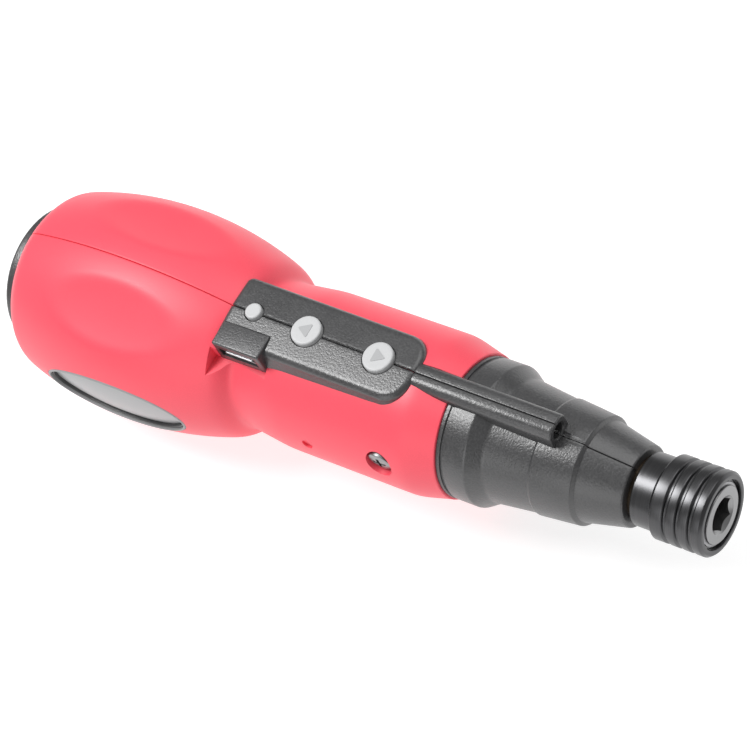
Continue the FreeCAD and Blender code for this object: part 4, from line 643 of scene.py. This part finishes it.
def sunk_core(depth):
    """A full turning of the handle's outside, a depth under it."""
    under = np.column_stack([outside[:, 0], outside[:, 1] - depth])
    return turned(np.vstack([under, [(outside[-1, 0], 0), (outside[0, 0], 0)]]), turns=160)


NOTCH_REAR, NOTCH_FRONT = PORT_REAR - NOTCH_LENGTH, PORT_FRONT + FIT
notch_rooms = [
    box_points((NOTCH_REAR, -NOTCH_REACH, BOARD_BOTTOM), (NOTCH_FRONT, -PORT_REACH, REACH)),
    box_points((PORT_REAR, -PORT_REACH - NOTCH_OVERLAP, BOARD_BOTTOM), (NOTCH_FRONT, -OPENING_HALF, REACH)),
]


def handle_loop():
    """The handle's section: its outside, then its inside from the end cap's seat to the nose's seat."""
    cap_seat = CAP_FRONT + CAP_SPIGOT_LENGTH + FIT
    back = np.linspace(cap_seat, BULB_FRONT, 40)
    inside = np.vstack([
        [(CAP_FRONT, CAP_SPIGOT + FIT), (cap_seat, CAP_SPIGOT + FIT)],
        np.stack([back, bulb_radius(back) - BULB_WALL], 1),
        [(NECK_REAR, NECK_RADIUS - WALL), (NECK_FRONT, NECK_RADIUS - WALL), (BODY_REAR, BODY_RADIUS - WALL),
         (BODY_FRONT, BODY_RADIUS - WALL), (BODY_FRONT, NOSE_SEAT), (HANDLE_FRONT, NOSE_SEAT)],
    ])
    return np.vstack([outside, inside])


def make_handle():
    """Two moulded halves, cut for panel and lamp tube. The right one also has the screw's pocket, the blind
    hole, the plate's recess and the plug's notch, with a pad behind it."""
    loop = handle_loop()
    outer = np.arange(len(loop)) < len(outside)
    opening = box_points((OPENING_REAR, -OPENING_HALF, BOARD_BOTTOM), (OPENING_FRONT, OPENING_HALF, REACH))
    pocket = turned(stepped(-REACH, [(SCREW_SEAT, SCREW_POCKET), (0, SCREW_SHANK)]), turns=48)
    blind = turned(stepped(-REACH, [(BLIND_DEPTH - BODY_RADIUS, BLIND_RADIUS)]), turns=32)
    right_only = [
        sideways(pocket, SCREW_AT, SCREW_HEIGHT),
        sideways(blind, BLIND_AT, BLIND_HEIGHT),
        *notch_rooms,
        oval_block(PLATE_LENGTH, PLATE_WIDTH, PLATE_RECESS),
    ]
    pad = box_points((NOTCH_REAR - NOTCH_WALL, -REACH, BOARD_BOTTOM - NOTCH_WALL),
                     (PORT_FRONT + NOTCH_WALL, NOTCH_WALL - OPENING_HALF, REACH))
    pad = carved(pad, [sunk_core(NOTCH_PAD_SINK)], "INTERSECT")
    for name, side in SIDES:
        piece = thing(f"handle_{name}", half_turned(loop, side, outer, hollowed))
        tools = [opening, on_lamp(lamp_bar(side, LAMP_ROOM_SEAM, FIT, LAMP_ROOM_START))]
        if side == RIGHT:
            carve(piece, [pad], "UNION")
            tools += right_only
        carve(piece, tools)
        dress(piece, looks["red_plastic"], "housing", "red_plastic", f"handle_shell_{name}")


# Nose with its lamp tube

def lamp_bar(side, seam, gap=0.0, start=0.0):
    """Half of the lamp tube's outside: half an arch carried along it, drawn in by a quarter round at its
    front end; towards the seam the crown drops by a small quarter round."""
    turn = np.linspace(0, np.pi / 2, 9)
    front = np.linspace(0, np.pi / 2, 6)
    run = np.concatenate([[start], LAMP_LENGTH - LAMP_RIM + LAMP_RIM * np.sin(front)])[:, None]
    draw_in = np.concatenate([[0], LAMP_RIM * (1 - np.cos(front))])[:, None]
    half, corner = LAMP_HALF + gap - draw_in, LAMP_CORNER + gap
    one = np.ones_like(half)
    near_seam = one * (SEAM_PLACES + seam - SEAM_HALF)
    y = np.hstack([near_seam, half - corner + corner * np.sin(turn), half, one * seam])
    drops = SEAM_DROPS * (gap == 0)
    z = np.hstack([half - drops, half - corner + corner * np.cos(turn), -half, -half])
    return capped_rows(np.stack([np.broadcast_to(run, y.shape), side * y, z], -1))


def make_nose():
    """Two moulded halves: tip, barrel, waist, the band with its fine line, and the spigot. Half of the lamp
    tube is joined to each, and all is bored for spindle, gears and lamp."""
    line = fillet(NOSE_LINE)
    loop = np.vstack([line, [(line[0, 0], line[-1, 1])]])
    outer = np.arange(len(loop)) < len(line) - 3
    core = turned(stepped(0, NOSE_BORES))
    channel = on_lamp(turned(LAMP_CHANNEL, turns=48))
    for name, side in SIDES:
        piece = thing(f"nose_{name}_half", half_turned(loop, side, outer))
        carve(piece, [on_lamp(lamp_bar(side, SEAM_HALF))], "UNION")
        carve(piece, [core, channel])
        dress(piece, looks["black_plastic"], "housing", "black_plastic", f"nose_{name}")


# Switch panel

def panel_grid(length, corner):
    """Places along the panel, closer at both ends, and shares across it, closer at seam and edge."""
    rear = 1 - np.cos(np.linspace(0, np.pi / 2, 22))
    front = 1 - np.sin(np.linspace(0, np.pi / 2, 30))
    middle = np.linspace(-length + PANEL_END_RUN, -corner, 24)
    along = np.concatenate([-length + PANEL_END_RUN * rear[:-1], middle[:-1], -corner * front])
    edge = PANEL_EDGE_SHARE + (1 - PANEL_EDGE_SHARE) * np.sin(np.linspace(0, np.pi / 2, 20))
    across = np.concatenate([PANEL_SEAM_SHARES, np.linspace(0.04, PANEL_EDGE_SHARE, 14), edge[1:]])
    return along[:, None], across


def panel_solid(side, inset=0.0, fall=0.0, rim=PANEL_RIM, seam=PANEL_SEAM):
    """Half of the panel's block on a grid along it and from seam to edge. The height falls from the ridge to
    the side and drops by a quarter round at the edge; the sides spread downwards to a lower outline."""
    length, half, corner = PANEL_LENGTH - inset, PANEL_HALF - inset, PANEL_CORNER - inset
    rear_corner = PANEL_REAR_CORNER
    spread = PANEL_DEPTH * np.tan(np.radians(PANEL_DRAFT))
    x, share = panel_grid(length, corner)
    x = np.where(x > -inset, -inset, x)

    def widest(x, grow):
        round_part = np.sqrt(np.maximum((corner + grow) ** 2 - np.maximum(x + corner + inset, 0) ** 2, 0))
        from_rear = np.clip(x + length + grow, 0, rear_corner)
        drawn_in = rear_corner - np.sqrt(rear_corner ** 2 - (rear_corner - from_rear) ** 2)
        return half - corner + round_part - drawn_in

    y = seam + (widest(x, 0) - seam) * share
    in_front = (x > -corner - inset) & (y > half - corner)
    front_edge = corner - np.hypot(x + corner + inset, y - half + corner)
    in_rear = (x < rear_corner - length) & (y > half - rear_corner)
    rear_edge = rear_corner - np.hypot(x + length - rear_corner, y - half + rear_corner)
    from_edge = np.where(in_front, front_edge, np.minimum(half - y, -inset - x))
    from_edge = np.where(in_rear, rear_edge, np.minimum(from_edge, x + length))
    from_edge = np.clip(from_edge, 0, max(rim, 1e-6))
    round_off = rim - np.sqrt(np.maximum(rim ** 2 - (rim - from_edge) ** 2, 0))
    groove = PANEL_GROOVE * np.exp(-((y - seam) / PANEL_GROOVE_HALF) ** 2) if rim else 0
    roof = PANEL_ROOF * np.abs(y / PANEL_HALF) ** PANEL_ROOF_POWER
    z = -fall - roof - round_off - groove
    low_x = -length / 2 + (x + length / 2) * (length / 2 + spread) / (length / 2)
    low_y = seam + (widest(low_x, spread) - seam) * share
    top = np.stack([np.broadcast_to(x, y.shape), side * y, z], -1)
    low_z = np.full_like(y, -PANEL_DEPTH - fall)
    bottom = np.stack([np.broadcast_to(low_x, y.shape), side * low_y, low_z], -1)
    rows, columns = y.shape
    count = rows * columns
    index = np.arange(count).reshape(rows, columns)
    border = np.concatenate([index[0], index[1:, -1], index[-1, -2::-1], index[-2:0:-1, 0]])
    ahead = np.roll(border, -1)
    wall = np.stack([border, ahead, ahead + count, border + count], 1)
    faces = np.vstack([grid_quads(rows, columns), grid_quads(rows, columns, start=count), wall])
    points = np.vstack([top.reshape(-1, 3), bottom.reshape(-1, 3)])
    return leaned((points, faces.tolist()), PANEL_FRONT, PANEL_TOP)


def ridge_at(x):
    return PANEL_TOP + (PANEL_FRONT - x) * np.tan(np.radians(PANEL_TILT))


def button_hole(x, radius):
    """A round hole with a flared mouth through the panel's roof."""
    top, wide = ridge_at(x), radius + BUTTON_GAP
    flared, low, high = wide + HOLE_FLARE, top - HOLE_DEPTH, top + HOLE_CLEAR
    line = [(low, 0), (low, wide), (top - HOLE_FLARE, wide), (top + HOLE_RISE, flared), (high, flared),
            (high, 0)]
    return upright(turned(line, turns=72), x)


def make_panel():
    """Two hollow halves on the handle, with the button holes; the right one carries the port's box."""
    core = sunk_core(PANEL_SEAT)
    holes = [button_hole(x, radius) for _, x, radius, _ in BUTTONS]
    box = rounded_box((PORT_REAR, -PORT_REACH, BOARD_BOTTOM + FIT), (PORT_FRONT, -PORT_INNER, PORT_TOP),
                      PORT_ROUND)
    socket_front, socket_top = SOCKET_REAR + SOCKET_LENGTH, SOCKET_LOW + SOCKET_HEIGHT
    slot = box_points((SOCKET_REAR - SLOT_ROOM, -REACH, SOCKET_LOW - SLOT_GAP),
                      (socket_front + SLOT_GAP, 0, socket_top + SLOT_GAP))
    for name, side in SIDES:
        piece = thing(f"panel_{name}_half", panel_solid(side))
        hollow = panel_solid(side, PANEL_WALL, PANEL_WALL, rim=0.0, seam=-PANEL_OVERLAP)
        base = core
        if side == RIGHT:
            carve(piece, [box], "UNION")
            carve(piece, [slot])
            base = carved(core, notch_rooms)
        carve(piece, [hollow, base, *holes])
        dress(piece, looks["black_plastic"], "housing", "black_plastic", f"panel_{name}")


def make_socket():
    """The charge socket's metal shell: a thin wall carried round a rounded oblong, closed behind. Its mouth
    leans back from the upper edge to the lower one, and the tongue stands on its floor."""
    steps = 7
    half = np.array([SOCKET_LENGTH, SOCKET_HEIGHT]) / 2
    middle = np.array([SOCKET_REAR, SOCKET_LOW]) + half
    floor = SOCKET_BACK - SOCKET_FLOOR
    angle = np.concatenate([np.linspace(0, np.pi / 2, steps) + k * np.pi / 2 for k in range(4)])[:, None]
    spoke = np.stack([np.cos(angle), np.sin(angle)], -1)
    quarter = np.sign(spoke[steps // 2::steps].repeat(steps, 0))
    section = fillet([(SOCKET_CORNER, SOCKET_BACK, 0), (0, SOCKET_BACK, SOCKET_BACK_ROUND),
                      (0, SOCKET_MOUTH, SOCKET_MOUTH_ROUND), (SOCKET_WALL, SOCKET_MOUTH, SOCKET_MOUTH_ROUND),
                      (SOCKET_WALL, floor, 0), (SOCKET_CORNER, floor, 0)], steps=5)
    place = middle + quarter * (half - SOCKET_CORNER) + (SOCKET_CORNER - section[:, :1]) * spoke
    reach = (section[:, 1] - SOCKET_BACK) / (SOCKET_MOUTH - SOCKET_BACK)
    depth = section[:, 1] + reach * SOCKET_LEAN * (SOCKET_LOW + SOCKET_HEIGHT - place[..., 1])
    piece = thing("charge_socket", capped_columns(np.stack([place[..., 0], depth, place[..., 1]], -1)))
    dress(piece, looks["gear_steel"], "housing", "bright_steel", "usb_socket")
    front = SOCKET_REAR + SOCKET_LENGTH - TONGUE_INSET
    low = (SOCKET_REAR + TONGUE_INSET, SOCKET_MOUTH + TONGUE_SINK, middle[1] - TONGUE_HALF)
    tongue = thing("socket_tongue", rounded_box(low, (front, floor, middle[1] + TONGUE_HALF), TONGUE_ROUND))
    slot = slot_of["usb_tongue"]
    dress(tongue, looks[slot], "housing", slot, "usb_tongue")


# Buttons

def make_mark(name, x, way, top):
    """A raised plain triangle with soft corners on a button, pointing along the tool."""
    corner = np.radians([120, 240, 0])
    tips = np.stack([x + way * MARK_REACH * np.cos(corner), way * MARK_REACH * np.sin(corner),
                     np.full(3, MARK_ROUND)], 1)
    start = (tips[2] + tips[0]) / 2 * (1, 1, 0)
    outline = fillet([start, *tips, start], steps=5)[:-1]
    mark = thing(f"{name}_mark", prism(outline, top - MARK_ROOT, top + MARK_PROUD))
    dress(mark, looks["mark_grey"], f"{name}_key", "grey_plastic")


def make_buttons():
    """Round buttons with a soft edge, a slight dish and a flange under the panel; two have a mark."""
    slope = PANEL_ROOF / PANEL_HALF + np.sin(np.radians(PANEL_TILT))
    for name, x, radius, way in BUTTONS:
        top = ridge_at(x) + BUTTON_PROUD
        flange = radius + BUTTON_FLANGE
        ledge = ridge_at(x) - PANEL_WALL - flange * slope - FIT
        dish = [(top - DISH_SINK, radius * DISH_SHARE, DISH_ROUND), (top - DISH_DEPTH, 0, 0)]
        foot = [(BUTTON_FOOT, 0, 0), (BUTTON_FOOT, flange, FLANGE_ROUND), (ledge, flange, FLANGE_ROUND)]
        line = fillet([*foot, (ledge, radius, 0), (top, radius, BUTTON_EDGE), *dish], steps=8)
        piece = thing(f"{name}_key_cap", upright(turned(line, turns=96), x))
        dress(piece, looks["grey_plastic"], f"{name}_key", "grey_plastic", f"{name}_button")
        if way:
            make_mark(name, x, way, top)


# Chuck and spindle

def make_sleeve():
    """The turned sleeve: a rounded front lip, grip grooves with soft shoulders, the step and the neck, and
    inside it the spring's recess and the ball's track."""
    grooves = [np.array(GROOVE_LINE) + (station, 0, 0) for station in GROOVE_STATIONS]
    corners = np.vstack([SLEEVE_FRONT, *grooves, SLEEVE_BACK])
    piece = thing("chuck_grip", turned(fillet(corners, steps=5), turns=180))
    dress(piece, looks["black_steel"], "chuck", "black_steel", "chuck_sleeve")


def make_spindle():
    """The turned spindle with its square tail, cut by the hex socket with its flared mouth, the magnet seat
    and the lock ball's hole."""
    piece = thing("bit_spindle", turned(fillet(SPINDLE_LINE), turns=144))
    tail = box_points((TAIL_REAR, -TAIL_HALF, -TAIL_HALF), (TAIL_FRONT, TAIL_HALF, TAIL_HALF))
    carve(piece, [tail], "UNION")
    corner = HEX_FLATS / np.sqrt(3)
    turn = np.radians(np.arange(6) * 60)
    outline = corner * np.stack([np.cos(turn), np.sin(turn)], 1)
    points, faces = prism(outline, -HEX_DEPTH, HEX_OVERRUN)
    hexagon = (points[:, [2, 0, 1]], faces)
    mouth = turned([(HEX_MOUTH_FRONT, 0), (HEX_MOUTH_FRONT, corner + HEX_MOUTH_SPREAD),
                    (HEX_MOUTH_REAR, corner - HEX_MOUTH_SPREAD), (HEX_MOUTH_REAR, 0)], turns=96)
    seat = turned(stepped(0, [(MAGNET_BOTTOM, MAGNET_BORE)]), turns=48)
    ball = upright(turned(stepped(0, BALL_STEPS), turns=32), BALL_AT)
    carve(piece, [hexagon, mouth, seat, ball])
    dress(piece, looks["spindle_steel"], "output", "spindle_steel", "output_spindle")


def make_ring():
    """The open ring that holds the chuck together, in its seat near the spindle's mouth."""
    piece = thing("retaining_ring", turned(fillet(RING_LINE), turns=120))
    carve(piece, [box_points((-REACH, -RING_GAP_HALF, -REACH), (REACH, RING_GAP_HALF, 0))])
    dress(piece, looks["gear_steel"], "output", "bright_steel", "chuck_ring")


def make_spring():
    """The chuck's spring: a circle carried square to a line wound along X, with flat ends."""
    angle = np.linspace(0, 2 * np.pi * SPRING_TURNS, SPRING_STEPS * SPRING_TURNS + 1)
    around = np.linspace(0, 2 * np.pi, SPRING_SIDES, endpoint=False)[:, None]
    lead = (SPRING_FRONT - SPRING_REAR - 2 * SPRING_WIRE) / angle[-1]
    flat, sine, cosine = np.zeros_like(angle), np.sin(angle), np.cos(angle)
    out = np.stack([flat, cosine, sine], -1)
    along = np.stack([flat + lead, -SPRING_COIL * sine, SPRING_COIL * cosine], -1)
    along /= np.linalg.norm(along, axis=-1, keepdims=True)
    line = SPRING_COIL * out
    line[:, 0] = SPRING_REAR + SPRING_WIRE + lead * angle
    spokes = np.cos(around) * out[:, None] + np.sin(around) * np.cross(along, out)[:, None]
    piece = thing("return_spring", capped_rows(line[:, None] + SPRING_WIRE * spokes))
    dress(piece, looks["gear_steel"], "output", slot_of["chuck_spring"], "chuck_spring")
    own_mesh(piece)


# End cap, plate, screw and lamp

def make_end_cap():
    """A low dome behind a straight rim with a soft edge, and the hollow spigot that fits the handle."""
    height = DOME_FRONT - TOOL_REAR
    arc = (CAP_RADIUS ** 2 + height ** 2) / (2 * height)
    radius = np.linspace(CAP_RADIUS - DOME_EDGE, 0, 40)
    dome = np.stack([TOOL_REAR + arc - np.sqrt(arc ** 2 - radius ** 2), radius], 1)
    rim = fillet([(CAP_FRONT, CAP_SPIGOT, 0), (CAP_FRONT, CAP_RADIUS, CAP_FOOT_ROUND),
                  (DOME_FRONT, CAP_RADIUS, CAP_EDGE_ROUND), (*dome[0], 0)], steps=8)
    front, bore = CAP_FRONT + CAP_SPIGOT_LENGTH, CAP_SPIGOT - CAP_SPIGOT_WALL
    plug = [(CAP_FRONT, 0), (CAP_FRONT, bore), (front, bore), (front, CAP_SPIGOT)]
    piece = thing("rear_cap", turned(np.vstack([plug, rim, dome[1:]]), turns=160))
    dress(piece, looks["black_plastic"], "housing", "black_plastic", "end_cap")


def oval_ring(inset, band, low, high):
    """A ring in the plate's recess, inset from its edge: a rounded section carried round the oval, with its
    foot and its crown at depths under the bulb."""
    angle = np.linspace(0, 2 * np.pi, 160, endpoint=False)[:, None]
    corners = [(0, low, 0), (0, high, OVAL_ROUND), (band, high, OVAL_ROUND), (band, low, 0)]
    section = fillet(corners, steps=5)
    inward, depth = section[:, 0], section[:, 1]
    x = PLATE_AT + np.cos(angle) * (PLATE_LENGTH / 2 - inset - inward)
    z = np.sin(angle) * (PLATE_WIDTH / 2 - inset - inward)
    points = np.stack([x, under_handle(x, z, depth), z], -1)
    return points.reshape(-1, 3), grid_quads(*x.shape, True, True).tolist()


def oval_plate(inset, low, high):
    """A thin oval plate bent to the bulb, inset in its recess between two depths, with a soft edge."""
    share = np.concatenate([np.linspace(0, PLATE_EDGE_SHARES[0], 14), PLATE_EDGE_SHARES[1:]])[:, None]
    angle = np.linspace(0, 2 * np.pi, 128, endpoint=False)
    x, z = oval_points(share, angle, PLATE_LENGTH - 2 * inset, PLATE_WIDTH - 2 * inset)
    drop = np.interp(share, PLATE_EDGE_SHARES, PLATE_EDGE_DROPS)
    depths = (high + drop, np.full_like(drop, low))
    return between_sheets(*(np.stack([x, under_handle(x, z, depth), z], -1) for depth in depths))


def make_plate():
    """From outside to inside: the bezel, a black ring of seal and painted gap shade, and the bare plate, all
    on the recess's floor.
    """
    foot = PLATE_RECESS - FIT
    bezel = thing("plate_frame", oval_ring(FIT, BEZEL_WIDTH, foot, -BEZEL_PROUD))
    dress(bezel, looks["bezel_grey"], "housing", "grey_plastic", "plate_bezel")
    inset = BEZEL_WIDTH + BEZEL_GAP
    # The ring's black is partly a seal's own colour and partly painted shade of the gap between bezel and
    # plate
    seal_and_shade = thing("plate_seal_and_shade", oval_ring(inset, SEAL_SHADE_WIDTH, foot, SEAL_SHADE_SINK))
    dress(seal_and_shade, looks["black_plastic"], "housing", "black_plastic")
    inset += SEAL_SHADE_WIDTH + SEAL_SHADE_GAP
    plate = thing("bare_plate", oval_plate(inset, foot, PLATE_SINK))
    dress(plate, looks["plate_silver"], "housing", "plate_silver", "rating_plate")


def make_screw():
    """A pan-head screw with a cross recess, along Y in its pocket."""
    line = fillet(np.array(SCREW_LINE) + (SCREW_SEAT, 0, 0), steps=5)
    piece = thing("casing_screw", sideways(turned(line, turns=64), SCREW_AT, SCREW_HEIGHT))
    low, high = SCREW_SEAT + CROSS_TOP, SCREW_SEAT + CROSS_FLOOR
    arms = ((CROSS_LONG, CROSS_NARROW), (CROSS_NARROW, CROSS_LONG))
    carve(piece, [box_points((SCREW_AT - along, low, SCREW_HEIGHT - up),
                             (SCREW_AT + along, high, SCREW_HEIGHT + up)) for along, up in arms])
    dress(piece, looks["spindle_steel"], "housing", "bright_steel", "housing_screw")


def make_lamp():
    """The lamp's domed body with its flange, lying in the tube's bore."""
    turn = np.linspace(0, np.pi / 2, 14)[:, None]
    dome_start, flange_end = LED_START + LED_LENGTH - LED_RADIUS, LED_START + LED_FLANGE_LENGTH
    dome = np.hstack([dome_start + LED_RADIUS * np.sin(turn), LED_RADIUS * np.cos(turn)])
    foot = [(LED_START, 0), (LED_START, LED_FLANGE), (flange_end, LED_FLANGE), (flange_end, LED_RADIUS)]
    piece = thing("lamp_bulb", on_lamp(turned(np.vstack([foot, dome]), turns=48)))
    dress(piece, looks["lamp_glass"], "housing", "lamp_glass", "lamp_led")


make_handle()
make_nose()
make_panel()
make_socket()
make_buttons()
make_sleeve()
make_spindle()
make_ring()
make_spring()
make_end_cap()
make_plate()
make_screw()
make_lamp()


# Studio, with places of lights and camera and widths of lights in metres

FLOOR_REACH = 3000.0
FLOOR = {"Base Color": (0.45, 0.45, 0.45, 1), "Roughness": 0.9, "Specular IOR Level": 0.1,
         "Emission Color": (1, 1, 1, 1), "Emission Strength": 0.74}
LIGHT_TARGET = (-0.085, 0.0, 0.0)
LIGHTS = (("key", (-0.52, -0.10, 0.84), 0.45, 7.5), ("fill", (0.10, 0.45, 0.70), 0.7, 2.5),
          ("near", (-0.05, -0.75, 0.30), 0.6, 1.4))
SKY_STRENGTH = 0.32
CAMERA_PLACE = (0.202986, -0.162839, 0.455575)
CAMERA_SIDE, CAMERA_BACK = (0.8121, 0.4794, -0.3325), (0.506, -0.295, 0.8105)
CAMERA_LENS, CAMERA_SENSOR, CAMERA_NEAR, CAMERA_FAR = 134.285, 36.0, 0.01, 20.0


def make_floor():
    """A wide pale floor just under the tool's lowest point, with a glow that keeps it white."""
    low, far = cad_box[0][2] / MM - FIT, FLOOR_REACH
    corners = np.array([(x, y, low) for x, y in ((-far, -far), (far, -far), (far, far), (-far, far))])
    floor = thing("floor", (corners, [[0, 1, 2, 3]]))
    floor.data.materials.append(new_material("pale_floor", FLOOR)[0])


def stand(name, data, place, side, back):
    """A lamp or camera at a place, with the directions of its right side and its back."""
    item = bpy.data.objects.new(name, data)
    bpy.context.scene.collection.objects.link(item)
    axes = np.stack([side, np.cross(back, side), back], 1)
    item.matrix_world = Matrix([(*row, p) for row, p in zip(axes, place)] + [(0, 0, 0, 1)])
    return item


def make_light(name, place, width, power):
    """A round soft light that looks at the tool's middle."""
    data = bpy.data.lights.new(name, "AREA")
    data.shape = "DISK"
    data.size = width
    data.energy = power
    back = np.subtract(place, LIGHT_TARGET)
    side = np.cross((0, 0, 1), back)
    stand(name, data, place, side / np.linalg.norm(side), back / np.linalg.norm(back))


def make_camera():
    """The photograph's place: 0.56 m off, to the front right of the tool and above it."""
    data = bpy.data.cameras.new("camera")
    data.lens, data.sensor_width = CAMERA_LENS, CAMERA_SENSOR
    data.clip_start, data.clip_end = CAMERA_NEAR, CAMERA_FAR
    bpy.context.scene.camera = stand("camera", data, CAMERA_PLACE, CAMERA_SIDE, CAMERA_BACK)


def make_sky():
    """Even white light from all round."""
    world = bpy.data.worlds.new("studio")
    world.use_nodes = True
    sky = world.node_tree.nodes["Background"]
    sky.inputs["Color"].default_value = (1, 1, 1, 1)
    sky.inputs["Strength"].default_value = SKY_STRENGTH
    bpy.context.scene.world = world


make_floor()
make_camera()
for light in LIGHTS:
    make_light(*light)
make_sky()
bpy.context.scene.view_settings.view_transform = "Standard"
